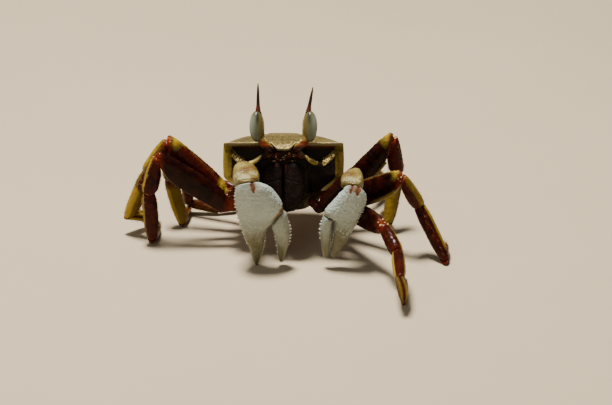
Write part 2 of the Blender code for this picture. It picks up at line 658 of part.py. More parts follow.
def make_cheliped(side):
    """Merus with ischium, carpus, palm with the fixed finger, and the movable finger."""
    claw = CLAW[side]
    size = claw["size"]
    coxa = on_body(mirrored(COXA[1], side))
    base, elbow, wrist, tip = (in_world(claw[key]) for key in ("base", "elbow", "wrist", "tip"))
    root, along = unit(base - coxa), unit(elbow - base)
    fore, down = unit(wrist - elbow), unit(tip - wrist)

    start_plane = coxa_plane(side, 1, root)[1]
    elbow_plane, wrist_plane = mitre(along, fore), mitre(fore, down)
    first, last = clear_of(coxa, root, start_plane), clear_of(elbow, -along, -elbow_plane)
    centres = [first, (first + base) / 2, base]
    centres += [base + (last - base) * share for share in CLAW_ARM_SHARES]
    tangents = [root, root, mitre(root, along), along, along, along]
    half = np.array(CLAW_ARM_HALF) * size
    forward = np.array([0.0, -1.0, 0.2])
    rings = limb_rings(centres, tangents, forward, -half, half, half * CLAW_ARM_FLATNESS,
                       start_plane, elbow_plane, 10, reach=0.25)
    mesh_object(f"claw_{side}_merus", *rings_to_mesh(rings), "leg")

    first, last = clear_of(elbow, fore, elbow_plane), clear_of(wrist, -fore, -wrist_plane)
    shares, lower, upper, thick = np.array(CLAW_WRIST).T
    centres = [first + (last - first) * share for share in shares]
    rings = limb_rings(centres, [fore] * len(shares), UP, lower * size, upper * size,
                       thick * size, elbow_plane, wrist_plane, 14, CLAW_WRIST_POWER, 0.4)
    mesh_object(f"claw_{side}_carpus", *rings_to_mesh(rings), "wrist")

    upper = unit(np.array([claw["upper_side"], 0.0, 0.0]) - down * down[0] * claw["upper_side"])
    make_claw_blade(side, "palm", wrist, down, upper, wrist_plane, 16, 0.12)
    finger_plane = unit(down * claw["finger_plane"][0] + upper * claw["finger_plane"][1])
    make_claw_blade(side, "finger", wrist, down, upper, finger_plane, 12, 0.4)


def make_claw_blade(side, piece, wrist, down, upper, start_plane, sides, reach):
    """A claw piece lofted along the wrist's line, with its tip flat on a floor that it reaches."""
    table = np.array(CLAW[side][piece])
    middle = (table[-1, 1] + table[-1, 2]) / 2
    to_tip = (wrist + upper * middle)[2] / -down[2]
    end_plane = -UP
    if to_tip > table[-1, 0] + TIP_LENGTH:
        to_tip, end_plane = table[-1, 0] + TIP_LENGTH, down
    table = np.vstack([table, (to_tip, middle - TIP_RADIUS, middle + TIP_RADIUS, TIP_RADIUS)])
    middles = (table[:, 1] + table[:, 2]) / 2
    centres = wrist + np.outer(table[:, 0], down) + np.outer(middles, upper)
    half = (table[:, 2] - table[:, 1]) / 2
    if piece == "palm":
        centres[0] = clear_of(wrist, down, start_plane) + upper * middles[0]
        shift = -np.dot(upper * middles[0], start_plane) / np.dot(down, start_plane)
        centres[0] += down * shift
    rings = limb_rings(centres, [down] * len(table), upper, -half, half, table[:, 3],
                       start_plane, end_plane, sides, reach=reach)
    blade = mesh_object(f"claw_{side}_{piece}", *rings_to_mesh(rings), "claw")
    apply_boolean(blade, make_teeth(side, piece, rings, upper), "UNION")


def make_teeth(side, piece, rings, upper):
    """The teeth of one claw piece, in rows along the outermost line of its upper or lower edge."""
    draw = np.random.default_rng(TEETH_SEED)
    teeth = []
    for row_piece, edge, first, last, number, height in CLAW_TEETH[side]:
        if row_piece != piece:
            continue
        outward = upper if edge == "upper" else -upper
        outermost = np.argsort(rings @ outward, axis=1)[:, -2:]
        line = np.take_along_axis(rings, outermost[..., None], axis=1).mean(axis=1)
        run = np.concatenate([[0], np.cumsum(np.linalg.norm(np.diff(line, axis=0), axis=1))])
        spacing = (last - first) / (number - 1)
        shares = np.linspace(first, last, number) + draw.uniform(-0.12, 0.12, number) * spacing
        for share, growth in zip(shares, draw.uniform(0.8, 1.15, number)):
            foot = np.array([np.interp(share, run / run[-1], line[:, axis]) for axis in range(3)])
            teeth.append(make_tooth(foot, outward, height * growth))
    return teeth


def make_tooth(foot, outward, height):
    """A blunt cone that stands height over the edge, with its root below it."""
    turn = np.arange(TOOTH_SIDES) * 2 * math.pi / TOOTH_SIDES
    first = unit(np.cross(outward, (0.0, 1.0, 0.3)))
    around = np.outer(np.cos(turn), first) + np.outer(np.sin(turn), np.cross(outward, first))
    rings = [foot - outward * TOOTH_ROOT + around * TOOTH_RADIUS,
             foot + outward * height + around * TOOTH_RADIUS * TOOTH_TIP]
    return mesh_object("tooth", *rings_to_mesh(rings), "claw")


def build():
    """Empties the scene and makes every node."""
    for old in list(bpy.data.objects):
        bpy.data.objects.remove(old)
    make_carapace()
    make_thorax()
    make_abdomen()
    for side in SIDES:
        make_maxilliped(side)
        make_eye(side)
        make_cheliped(side)
        for number in LEG_LENGTHS:
            make_leg(side, number)


build()
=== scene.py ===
"""Looks of a horned ghost crab: shell, eyes, joints and hairs worked out as surfaces, and a pale stage.

Lengths are millimetres, and skin_object writes them as metres; only the lamps and the floor are
given in metres. Body places are (across, behind the front margin, above it), limb places are
(across, forward, up), and both are for the left side where one table serves two.
"""

import math
from typing import NamedTuple

import bpy
import numpy as np
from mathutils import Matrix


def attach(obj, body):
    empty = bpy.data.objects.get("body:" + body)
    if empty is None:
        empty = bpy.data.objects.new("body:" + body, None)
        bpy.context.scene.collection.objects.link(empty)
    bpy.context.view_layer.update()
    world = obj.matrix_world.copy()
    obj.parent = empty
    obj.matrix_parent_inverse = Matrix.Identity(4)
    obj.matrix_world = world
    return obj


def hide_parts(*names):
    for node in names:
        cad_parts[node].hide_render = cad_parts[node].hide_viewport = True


bl_info = {
    "name": "Horned ghost crab",
    "version": (1, 0, 0),
    "blender": (4, 5, 0),
    "location": "View3D > Sidebar > Crab",
    "description": "Builds the surfaces and finishes of a life-size horned ghost crab",
    "category": "Object",
}

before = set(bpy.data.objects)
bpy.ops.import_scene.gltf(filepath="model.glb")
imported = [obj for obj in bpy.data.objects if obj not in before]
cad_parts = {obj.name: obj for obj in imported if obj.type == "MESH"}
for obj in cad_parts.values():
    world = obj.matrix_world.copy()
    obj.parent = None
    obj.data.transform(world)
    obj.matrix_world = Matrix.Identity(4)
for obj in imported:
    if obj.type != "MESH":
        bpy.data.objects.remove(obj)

MM = 0.001
GAP = 0.32

# Body, from the carapace width of a full grown crab.
CARAPACE_WIDTH = 45.0
HALF_WIDTH = CARAPACE_WIDTH / 2
CARAPACE_LENGTH = 0.87 * CARAPACE_WIDTH
BODY_DEPTH = 0.59 * CARAPACE_WIDTH
FRONT_HEIGHT = 45.0
BODY_PITCH = math.radians(20)
BACK_ARCH = 2.4
REAR_DROP = 6.0
FLANK_DROOP = 0.1
FACE_HALF_WIDTH = 20.0
FRONT_CORNER = 22.3
REAR_HALF_WIDTH = 12.4
WALL_FOOT = -19.5
WALL_FOOT_RISE = 0.12
SIDE_FRONT = 2.5
SIDE_REAR = 35.5
REAR_TUCK = 4.4
ORBIT_DEPTH = 4.0
MOUTH_HALF_WIDTH = 8.7
MOUTH_TOP = -6.4
GROOVE_DEPTH = 0.42
CENTRE_X = 0.74
CENTRE_FORWARD = -1.52

# Walking legs: lengths of merus, carpus, propodus and dactylus, and how stout each leg is.
LEG_LENGTHS = {2: (32.0, 14.0, 18.5, 15.0), 3: (32.5, 14.5, 21.0, 16.0),
               4: (29.0, 13.0, 18.5, 15.5), 5: (21.0, 9.5, 12.0, 11.0)}
MERUS_STOUTNESS = {2: 1.0, 3: 1.04, 4: 1.0, 5: 0.68}
LEG_STOUTNESS = {2: 1.0, 3: 1.0, 4: 0.95, 5: 0.68}
COXA = {1: (10.5, 6.0, -22.5), 2: (14.0, 14.0, -21.5), 3: (15.5, 20.5, -20.5),
        4: (15.0, 27.0, -19.3), 5: (12.5, 33.0, -18.3)}
MERUS_BASE = {2: (21.8, 14.0, -24.4), 3: (23.0, 20.5, -23.8),
              4: (22.0, 27.0, -22.3), 5: (18.5, 33.0, -20.2)}
COXA_RADIUS = 2.3
COXA_HEADING = {1: 40, 2: 12, 3: 2, 4: -8, 5: -22}
COXA_TILT = -3
COXA_STUB = 5.0

# A coxa's sections: how far back from its joint in stubs, and radius in coxa radii.
COXA_SHAPE = ((1.0, 0.9), (0.4, 1.1), (0.0, 0.9))

# Pose of each leg: heading and rise in degrees of merus, carpus and propodus, then the heading of
# the dactylus, which reaches the floor. Heading 0 is straight out, 90 is forward.
LEG_POSE = {
    ("right", 2): ((0, 35), (0, -76), (-155, -86), -98),
    ("right", 3): ((3, 48.5), (-8, -59), (-28, -67.5), -144),
    ("right", 4): ((-12, 40.5), (90, -80), (-162, -75.4), -100),
    ("right", 5): ((-22, -2), (-135, -78), (174, -12), -165),
    ("left", 2): ((59, 5), (68, -20), (88, -4), -74),
    ("left", 3): ((37, 31), (-27, -60), (41, -54), -91),
    ("left", 4): ((-6, 47.5), (-14, -81), (124, -72.7), -100),
    ("left", 5): ((-45, 3), (-60, -35), (-75, -38), -150),
}

# Outline of each piece of a walking leg in its own plane: fraction of the length, lower edge,
# upper edge and half thickness.
ISCHIUM_SHAPE = ((0.0, -2.0, 2.0, 1.9), (0.5, -2.4, 2.3, 1.9), (1.0, -3.2, 2.9, 2.0))
MERUS_SHAPE = ((0.18, -4.3, 4.1, 2.1), (0.5, -4.6, 4.6, 2.2), (0.8, -4.1, 4.3, 2.1),
               (0.92, -3.3, 3.4, 2.0), (1.0, -2.3, 1.4, 1.6))
CARPUS_SHAPE = ((0.0, -2.0, 1.4, 1.7), (0.14, -2.4, 2.5, 2.1), (0.4, -2.7, 3.0, 2.4),
                (0.78, -2.9, 3.0, 2.5), (1.0, -2.3, 2.3, 2.1))
PROPODUS_SHAPE = ((0.0, -2.2, 2.2, 1.9), (0.25, -2.7, 2.7, 2.35), (0.7, -2.6, 2.6, 2.3),
                  (1.0, -2.0, 2.0, 1.9))
DACTYLUS_SHAPE = ((0.0, -1.8, 1.8, 1.8), (0.3, -2.1, 2.1, 2.2), (0.6, -1.7, 1.7, 1.9),
                  (0.85, -1.0, 1.0, 1.1), (1.0, -0.45, 0.45, 0.5))
DACTYLUS_ARCH = 1.2

# Radius of the condyles beside knee, wrist and ankle, and radius and height of the one over the
# base of a leg, before the leg's stoutness.
CONDYLES = (1.3, 0.75, 0.55)
BASE_CONDYLE = 1.25
BASE_CONDYLE_LIFT = 2.7

# Hairs of a leg: which of its pieces, how many, and how far they lean along it.
FRINGES = ((1, 90, 0.9), (2, 170, 0.9), (3, 190, 0.8))
HAIR_RADIUS = 0.045


class Paint(NamedTuple):
    """Paint of a leg piece over its dark shell: olive 0.5 is a brown and 1 a yellow, red 0.4 is a dark
    red and 1 an orange red. The edge is a stripe along the piece, at a turn in degrees from its upper
    side, and at the same turn on the other side too where both is set. The far part starts at a share
    of its length, and the root part lies at a third of it."""

    olive: float = 0.0
    edge: float = 0.0
    turn: float = 0.0
    both: bool = False
    width: float = 0.15
    far: float = 0.0
    start: float = 0.9
    root: float = 0.0
    red: float = 0.15


LEG_PAINT = {
    ("right", 2): (Paint(edge=0.12, width=0.05, red=0.12),
                   Paint(edge=0.85, turn=22, width=0.03, red=0.27),
                   Paint(edge=0.85, turn=22, width=0.03, far=-0.3, start=0.6, red=0.3),
                   Paint(edge=0.4, turn=20, red=0.45)),
    ("right", 3): (Paint(edge=0.2, width=0.06, far=0.9, start=0.82, root=0.9, red=0.36),
                   Paint(olive=0.3, edge=0.5, turn=5, width=0.14, red=0.6),
                   Paint(olive=0.1, edge=0.4, width=0.2, far=1.3, start=0.3, red=0.5),
                   Paint(olive=0.8, edge=0.2, red=0.4)),
    ("right", 4): (Paint(edge=0.2, width=0.1, far=0.7, start=0.75, root=0.9, red=0.3),
                   Paint(olive=0.2, edge=0.5, width=0.2, far=0.4, start=0.5, red=0.5),
                   Paint(olive=0.25, far=1.1, start=0.12, red=0.5), Paint(olive=0.3, red=0.45)),
    ("right", 5): (Paint(olive=0.1, edge=0.3, width=0.2, far=0.4, start=0.6, red=0.45),
                   Paint(olive=0.2, edge=0.4, width=0.4, red=0.5),
                   Paint(olive=0.25, edge=0.4, width=0.4, red=0.5), Paint(olive=0.2, red=0.45)),
    ("left", 2): (Paint(edge=0.2, width=0.05, red=0.22),
                  Paint(edge=0.9, turn=55, width=0.1, red=0.3),
                  Paint(edge=0.9, turn=80, both=True, width=0.11, red=0.3),
                  Paint(olive=0.6, edge=0.5, red=0.5)),
    ("left", 3): (Paint(edge=0.3, width=0.05, far=1.0, start=0.84, red=0.2),
                  Paint(edge=0.7, turn=32, width=0.5, red=0.38),
                  Paint(edge=0.7, turn=30, width=0.2, far=-0.5, start=0.8, red=0.27),
                  Paint(edge=0.3, turn=20, red=0.5)),
    ("left", 4): (Paint(edge=0.12, width=0.04, far=1.0, start=0.83, red=0.16),
                  Paint(olive=0.1, edge=0.25, turn=180, width=0.1, red=0.36),
                  Paint(olive=0.7, edge=-0.5, width=0.3, red=0.4),
                  Paint(olive=0.5, edge=0.3, red=0.45)),
    ("left", 5): (Paint(edge=0.3, width=0.2, far=0.6, start=0.75, red=0.3),
                  Paint(olive=0.2, edge=0.4, width=0.3, far=0.3, start=0.6, red=0.4),
                  Paint(olive=0.6, edge=0.2, width=0.4, red=0.4), Paint(olive=0.4, red=0.45)),
}
LEG_PIECES = ("merus", "carpus", "propodus", "dactylus")

# Chelipeds: places of elbow, wrist and finger tips, and the outline of each claw as stations of
# (distance from the wrist, lower edge, upper edge, half thickness).
CLAW = {
    "right": {
        "base": (-13.0, 6.5, 20.5), "elbow": (-14.8, 8.0, 38.0), "wrist": (-13.6, 17.4, 35.9),
        "tip": (-10.6, 13.0, 0.0), "upper_side": 1, "size": 1.0, "finger_plane": (0.63, 0.77),
        "palm": ((0.0, -4.1, 5.2, 3.0), (2.5, -4.7, 8.6, 3.9), (6.0, -5.0, 10.8, 4.1),
                 (9.0, -4.9, 12.1, 4.1), (12.2, -4.6, 12.5, 3.9), (15.0, -4.3, 10.2, 3.6),
                 (18.4, -3.8, 7.1, 3.2), (20.5, -3.5, 5.3, 2.8), (24.5, -2.8, 4.4, 2.5),
                 (28.5, -1.6, 3.5, 2.1), (32.5, -0.8, 2.2, 1.5), (35.2, -0.3, 1.1, 0.8)),
        "finger": ((15.7, 7.6, 12.5, 2.6), (17.4, 7.6, 13.6, 2.9), (20.0, 8.1, 14.1, 2.9),
                   (23.3, 8.6, 14.0, 2.6), (27.0, 8.9, 13.5, 2.2), (31.0, 8.9, 12.2, 1.6),
                   (34.2, 9.1, 10.9, 0.9)),
    },
    "left": {
        "base": (13.5, 5.0, 20.5), "elbow": (26.0, 6.5, 35.2), "wrist": (26.1, 16.0, 34.2),
        "tip": (18.9, 15.2, 4.0), "upper_side": -1, "size": 0.84, "finger_plane": (0.95, 0.31),
        "palm": ((0.0, -3.5, 2.4, 2.4), (2.0, -5.6, 3.0, 3.3), (4.4, -6.3, 4.2, 3.5),
                 (8.3, -6.0, 5.9, 3.4), (12.2, -5.3, 7.6, 3.1), (13.3, -5.1, 7.8, 2.9),
                 (14.8, -4.9, 3.0, 2.6), (17.6, -4.3, 2.6, 2.3), (22.0, -3.5, 2.0, 1.9),
                 (26.5, -2.1, 1.6, 1.5), (29.3, -1.1, 1.3, 1.0)),
        "finger": ((14.6, 3.9, 7.7, 2.4), (16.5, 4.0, 7.8, 2.4), (20.7, 3.4, 7.3, 2.1),
                   (25.0, 2.7, 6.3, 1.7), (28.3, 2.3, 5.2, 1.2), (30.2, 2.3, 4.2, 0.8)),
    },
}
TIP_RADIUS = 0.45
TIP_LENGTH = 1.4

# Arm and wrist of both claws, before each claw's size: half width at each section of the arm, and
# the wrist's outline as share of its length, lower edge, upper edge and half thickness.
CLAW_ARM_ROOT = ((0.0, 2.1), (0.5, 2.3), (1.0, 2.7))
CLAW_ARM = ((0.3, 3.1), (0.7, 3.3), (1.0, 2.7))
CLAW_ARM_FLATNESS = 0.9
CLAW_WRIST = ((0.0, -2.6, 2.1, 3.3), (0.28, -4.0, 3.1, 4.7), (0.62, -4.3, 3.7, 5.0),
              (0.86, -3.9, 3.7, 4.6), (1.0, -2.8, 2.9, 3.3))
CLAW_WRIST_POWER = 2.9

# Where the notches of joint skin at each wrist lie along the palm's upper side.
NOTCHES = {"right": (2.2,), "left": (0.5, -2.4)}

# Breastplate, at its top: half width, front and rear, and how far each has moved at its bottom.
THORAX_HALF_WIDTH = 14.0
THORAX_ENDS = (3.4, 32.5)
THORAX_TAPER = (4.0, 1.2, 6.0)
THORAX_SQUARENESS = 0.7
THORAX_BOTTOM_RISE = 0.14

# Outer mouth leg of the left side: height, middle, half width and front of each section.
MAXILLIPED = ((-7.6, 3.1, 2.4, -0.1), (-9.2, 4.0, 3.6, -0.7), (-14.0, 4.3, 3.9, -1.0),
              (-20.0, 4.0, 3.6, -0.9), (-24.0, 3.2, 2.8, -0.5), (-26.0, 2.2, 1.7, 0.0))
MAXILLIPED_BACK = 2.25

# Tail plate along the body's middle: behind, above, half width and half thickness.
ABDOMEN = ((40.1, -8.4, 7.4, 0.8), (39.7, -12.0, 7.4, 0.9), (38.0, -16.0, 7.0, 0.9),
           (34.6, -20.2, 6.4, 0.9), (29.0, -23.8, 5.4, 0.9), (20.0, -25.4, 4.2, 0.9),
           (10.0, -26.7, 2.0, 0.7))

# Grooves between the segments of the tail plate, by their distance along it.
TAIL_SEAMS = (5.0, 11.0, 17.5, 24.5, 32.0)

# Path and radii of the feelers of the left side, and how many knobs lie over the mouth.
FEELERS = {
    "antennule": (((1.6, 0.4, -3.6), (2.3, -0.5, -4.1), (2.7, -0.4, -4.9), (2.0, 0.3, -5.4)),
                  (0.6, 0.62, 0.45, 0.28)),
    "antenna": (((4.6, 1.0, -4.3), (5.0, -0.3, -4.2), (6.0, -0.9, -4.9), (7.2, -0.7, -5.8)),
                (0.62, 0.52, 0.3, 0.15)),
}
CRUMBS = 44

# Eyes, in body places for the left side.
STALK_PATH = ((4.6, 0.6, -3.0), (4.9, -1.4, -2.4), (6.0, -3.1, -1.0), (7.7, -3.5, 0.5),
              (8.8, -3.0, 2.8), (9.0, -2.3, 7.2), (9.6, -2.8, 12.6))
STALK_RADII = (1.35, 1.45, 1.6, 1.65, 1.7, 1.8, 1.1)
CORNEA_CENTRE = (10.2, -3.9, 6.7)
CORNEA_RADII = (2.7, 2.7, 5.9)
HORN_BASE = (9.6, -3.0, 12.95)
HORN_TIP = {"right": (9.6, -3.9, 23.1), "left": (11.2, -3.9, 21.7)}
HORN_SHAPE = ((0.0, 1.05), (0.08, 0.95), (0.22, 0.72), (0.52, 0.58), (0.83, 0.36), (1.0, 0.18))

# The render's horn reaches down over the gap to its stalk.
HORN_SINK = 0.6

# Rows and points around of each grid. Rows of the back and the walls are rings of the carapace,
# which have points of their own.
GRIDS = {
    "breastplate": (54, 200), "coxa": (30, 40), "tail": (120, 64), "mouth leg": (110, 72),
    "feeler": (48, 24), "stalk": (130, 64), "cornea": (90, 96), "horn": (90, 28), "arm": (110, 64),
    "wrist": (120, 128), "palm": (230, 170), "finger": (150, 96), "claw joint": (26, 48),
    "merus": (170, 84), "carpus": (84, 72), "propodus": (104, 72), "dactylus": (84, 54),
    "leg joint": (22, 40),
}
BACK_ROWS = 186
WALL_ROWS = 136

SIDES = {"right": -1, "left": 1}
UP_SIDE = np.array([1.0, 0.0, 0.0])
UP = np.array([0.0, 0.0, 1.0])

# Middle of the back, from which its rings of points grow.
BACK_CENTRE = np.array([0.0, 18.0, 0.0])

# Camera: the photograph's viewing angle, with its frame as wide as the shown stretch of floor.
VIEW_RISE = math.radians(25)
VIEW_WIDTH = 233.4
VIEW_TARGET = (8.58 - CENTRE_X, CENTRE_FORWARD, 20.2)
VIEW_DISTANCE = 2600.0
SENSOR = 36.0

# Lamps, in metres: place, width, power and colour. Both look at the crab's middle.
LAMPS = {"key": ((-0.10, 0.05, 0.80), 0.16, 17.0, (1.0, 0.95, 0.86)),
         "fill": ((-0.45, -0.9, 0.8), 0.7, 2.6, (1.0, 0.97, 0.92))}
LAMP_TARGET = np.array([0.0, 0.0, 0.025])
FLOOR_HALF = 2.5


def length_property(name, description, millimetres):
    """A length that a user may change, shown in the scene's units."""
    return bpy.props.FloatProperty(name=name, description=description, default=millimetres * MM,
                                   min=0.0, subtype="DISTANCE", unit="LENGTH", precision=5)


def colour_property(name, description, colour):
    """A colour that a user may change."""
    return bpy.props.FloatVectorProperty(name=name, description=description, default=colour,
                                         size=3, min=0.0, max=1.0, subtype="COLOR")


class CrabSizes(bpy.types.PropertyGroup):
    """Sizes of the surface detail."""

    back_granule: length_property("Back granules", "Spacing of the granules of the back", 0.95)
    claw_pebble: length_property("Claw pebbles", "Spacing of the pebbles of the claws", 1.0)
    leg_granule: length_property("Leg granules", "Spacing of the granules of the legs", 0.8)
    relief: length_property("Relief", "Height of the granules", 0.13)
    hair: length_property("Hairs", "Length of the hairs of the legs", 1.5)
    seed: bpy.props.IntProperty(name="Seed", description="Start of every random draw", default=7)


class CrabColours(bpy.types.PropertyGroup):
    """Colours of the shell, eyes and stage."""

    olive: colour_property("Olive", "Sandy olive of the back", (0.120, 0.085, 0.019))
    mark: colour_property("Marks", "Dark brown marks of the back", (0.045, 0.02, 0.008))
    cream: colour_property("Cream", "Cream of the front lobe and the wrists", (0.52, 0.41, 0.17))
    yellow: colour_property("Yellow", "Ochre yellow of the legs and flanks", (0.33, 0.21, 0.014))
    brown: colour_property("Olive brown", "Olive brown of the leg edges", (0.120, 0.078, 0.010))
    maroon: colour_property("Maroon", "Dark maroon of the legs", (0.022, 0.0036, 0.0018))
    # On the face this near black is partly its own dark maroon and partly painted shade.
    night: colour_property("Night", "Near black of the face", (0.0048, 0.0014, 0.0010))
    ember: colour_property("Dark red", "Dark red of the lower legs", (0.062, 0.0068, 0.0030))
    rust: colour_property("Rust", "Orange red at the joints", (0.18, 0.025, 0.005))
    white: colour_property("White", "Cool white of the claws", (0.40, 0.46, 0.42))
    # Partly the fingers' own warm tone, partly painted shade on the claws' lower half.
    warm_and_shade: colour_property("Warm", "Warm grey olive of the fingers", (0.095, 0.086, 0.034))
    eye: colour_property("Eye", "Grey green of the eyes", (0.102, 0.107, 0.056))
    eye_light: colour_property("Eye light", "Blue grey of the outer side of the eyes",
                               (0.195, 0.230, 0.195))
    pupil: colour_property("Pupil", "Dark spot of the eyes", (0.006, 0.005, 0.003))
    hair: colour_property("Hair", "Golden brown of the hairs", (0.38, 0.25, 0.10))
    floor: colour_property("Floor", "Pale sand tone of the stage", (0.50, 0.415, 0.285))


class Detail(NamedTuple):
    """Sizes of the surface detail in millimetres, and the seed."""

    back_granule: float
    claw_pebble: float
    leg_granule: float
    relief: float
    hair: float
    seed: int


def sizes():
    """The detail that is set on the scene."""
    held = bpy.context.scene.crab_sizes
    return Detail(*[getattr(held, name) / MM for name in Detail._fields[:-1]], held.seed)


def unit(vectors):
    """The vectors at length one."""
    vectors = np.asarray(vectors, float)
    return vectors / np.linalg.norm(vectors, axis=-1, keepdims=True)


def smooth(start, end, value):
    """Rises from 0 at start to 1 at end, level at both: 3tt - 2ttt of the share t."""
    t = np.clip((value - start) / (end - start), 0.0, 1.0)
    return t * t * (3 - 2 * t)


def bell(value, middle, width):
    """A bump of height 1 at middle: e to the power of minus the square of the distance in widths."""
    return np.exp(-((value - middle) / width) ** 2)


def on_body(points):
    """World places of body points: the body is pitched up about its front margin."""
    points = np.asarray(points, float)
    across, behind, above = points[..., 0], points[..., 1], points[..., 2]
    rear = behind * math.cos(BODY_PITCH) + above * math.sin(BODY_PITCH)
    height = FRONT_HEIGHT - behind * math.sin(BODY_PITCH) + above * math.cos(BODY_PITCH)
    return np.stack([across - CENTRE_X, rear + CENTRE_FORWARD, height], axis=-1)


def in_world(point):
    """World place of a limb point given as across, forward and up."""
    return np.array([point[0] - CENTRE_X, CENTRE_FORWARD - point[1], point[2]])


def mirrored(point, side):
    """A body point of the left side, on the side asked for."""
    return np.array([point[0] * SIDES[side], point[1], point[2]])


def through(table, at):
    """A smooth curve through the rows of a table, read at places of its first column.

    Each stretch is a cubic whose end slopes are the harmonic means of the chords beside them, and
    level where the chords differ in sign, so the curve never swings past a row.
    """
    table = np.asarray(table, float)
    place, value = table[:, 0], table[:, 1:]
    chord = np.diff(value, axis=0) / np.diff(place)[:, None]
    before, after = chord[:-1], chord[1:]
    alike = before * after > 0
    middle = np.where(alike, 2 * before * after / np.where(alike, before + after, 1.0), 0.0)
    slope = np.vstack([chord[:1], middle, chord[-1:]])
    row = np.clip(np.searchsorted(place, at, side="right") - 1, 0, len(place) - 2)
    width = (place[row + 1] - place[row])[:, None]
    t = np.clip((at - place[row])[:, None] / width, 0.0, 1.0)
    return (value[row] * (1 + 2 * t) * (1 - t) ** 2 + slope[row] * width * t * (1 - t) ** 2
            + value[row + 1] * t ** 2 * (3 - 2 * t) + slope[row + 1] * width * t ** 2 * (t - 1))


def lattice(cells, seed):
    """Three random shares for each cell of a lattice: the fractions of large sines of its numbers."""
    turns = np.array([[12.9898, 39.3468, 73.156], [78.233, 11.135, 52.235], [37.719, 83.155, 9.151]])
    return np.modf(np.abs(np.sin(cells @ turns + seed) * 43758.5453))[0]


def pebbles(points, spacing, seed):
    """Packed domes, 0 to 1: each cell of a cubic lattice holds a random point, and the height is 1
    less the squared distance to the nearest one, over 0.45 of a spacing squared."""
    places = points / spacing
    cells = np.floor(places)
    height = np.zeros(points.shape[:-1])
    for step in np.ndindex(3, 3, 3):
        near = cells + np.array(step) - 1
        away = places - near - 0.15 - 0.7 * lattice(near, seed)
        height = np.maximum(height, 1 - (away ** 2).sum(axis=-1) / 0.45)
    return height


def wobble(points, spacing, seed):
    """Smooth random heights, -1 to 1: lattice values blended across each cell by 3tt - 2ttt."""
    places = points / spacing
    cells = np.floor(places)
    share = smooth(0.0, 1.0, places - cells)
    total = np.zeros(points.shape[:-1])
    for step in np.ndindex(2, 2, 2):
        corner = np.array(step)
        weight = np.where(corner, share, 1 - share).prod(axis=-1)
        total += weight * lattice(cells + corner, seed)[..., 0]
    return 2 * total - 1


def saw(place, spacing):
    """A row of teeth, 0 to 1: straight up and down again in each spacing."""
    return np.abs(np.mod(place / spacing, 1) - 0.5) * 2


def section(sides, power=2.4):
    """Unit points around a rounded section: cosine and sine of the turn, each to 2 / power."""
    turn = np.arange(sides) * 2 * math.pi / sides + math.pi / 2
    across, tall = np.cos(turn), np.sin(turn)
    return (np.sign(across) * np.abs(across) ** (2 / power),
            np.sign(tall) * np.abs(tall) ** (2 / power))


def grid_normals(points):
    """Outward directions of a grid that closes around: the cross product of its two slopes."""
    along = np.gradient(points, axis=0)
    around = np.roll(points, -1, axis=1) - np.roll(points, 1, axis=1)
    normal = np.cross(around, along)
    normal /= np.linalg.norm(normal, axis=-1, keepdims=True) + 1e-12
    outward = points - points.mean(axis=1, keepdims=True)
    return normal * np.sign((normal * outward).sum())


def raised(points, height):
    """The grid moved out along its own normals by a height at each point."""
    return points + grid_normals(points) * height[..., None]


def skin_object(name, vertices, quads, triangles, marks, maker):
    """A named mesh from arrays, with its faces turned outwards, its finish and its marks."""
    corner = vertices[np.vstack([quads[:, :3], quads[:, [0, 2, 3]], triangles])]
    volume = np.einsum("ij,ij->i", corner[:, 0], np.cross(corner[:, 1], corner[:, 2])).sum()
    if volume < 0:
        quads, triangles = quads[:, ::-1], triangles[:, ::-1]
    mesh = bpy.data.meshes.new(name)
    mesh.vertices.add(len(vertices))
    mesh.vertices.foreach_set("co", (vertices * MM).astype(np.float32).ravel())
    loops = np.concatenate([quads.ravel(), triangles.ravel()]).astype(np.int32)
    mesh.loops.add(len(loops))
    mesh.loops.foreach_set("vertex_index", loops)
    counts = np.concatenate([np.full(len(quads), 4), np.full(len(triangles), 3)])
    mesh.polygons.add(len(counts))
    mesh.polygons.foreach_set("loop_start", (np.cumsum(counts) - counts).astype(np.int32))
    mesh.update(calc_edges=True)
    mesh.shade_smooth()
    layer = mesh.attributes.new("marks", "FLOAT_COLOR", "POINT")
    layer.data.foreach_set("color", np.asarray(marks, np.float32).ravel())
    mesh.materials.append(finish_of(maker))
    made = bpy.data.objects.new(name, mesh)
    bpy.context.scene.collection.objects.link(made)
    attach(made, "root")
    return made


def closed_skin(name, grid, marks, maker, node=None):
    """A closed skin over a grid whose rows are rings, with a pole in the middle of each end. It
    stands in for a node of the solids where one is named."""
    rows, around = grid.shape[:2]
    vertices = np.vstack([grid.reshape(-1, 3), grid[0].mean(axis=0), grid[-1].mean(axis=0)])
    index = np.arange(rows * around).reshape(rows, around)
    following = np.roll(index, -1, axis=1)
    quads = np.stack([index[:-1], following[:-1], following[1:], index[1:]], axis=-1).reshape(-1, 4)
    poles = rows * around, rows * around + 1
    first = np.stack([following[0], index[0], np.full(around, poles[0])], axis=-1)
    last = np.stack([index[-1], following[-1], np.full(around, poles[1])], axis=-1)
    marks = np.broadcast_to(marks, (rows, around, 4))
    marks = np.vstack([marks.reshape(-1, 4), marks[0, :1], marks[-1, :1]])
    made = skin_object(name, vertices, quads, np.vstack([first, last]), marks, maker)
    if node:
        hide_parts(node)


def marked(shape, olive=0.0, red=0.0, light=0.0, relief=1.0):
    """Four shares at each point of a grid: olive, red, light, and its height between and on granules."""
    channels = [np.broadcast_to(channel, shape) for channel in (olive, red, light, relief)]
    return np.clip(np.stack(channels, axis=-1), 0.0, 1.0)


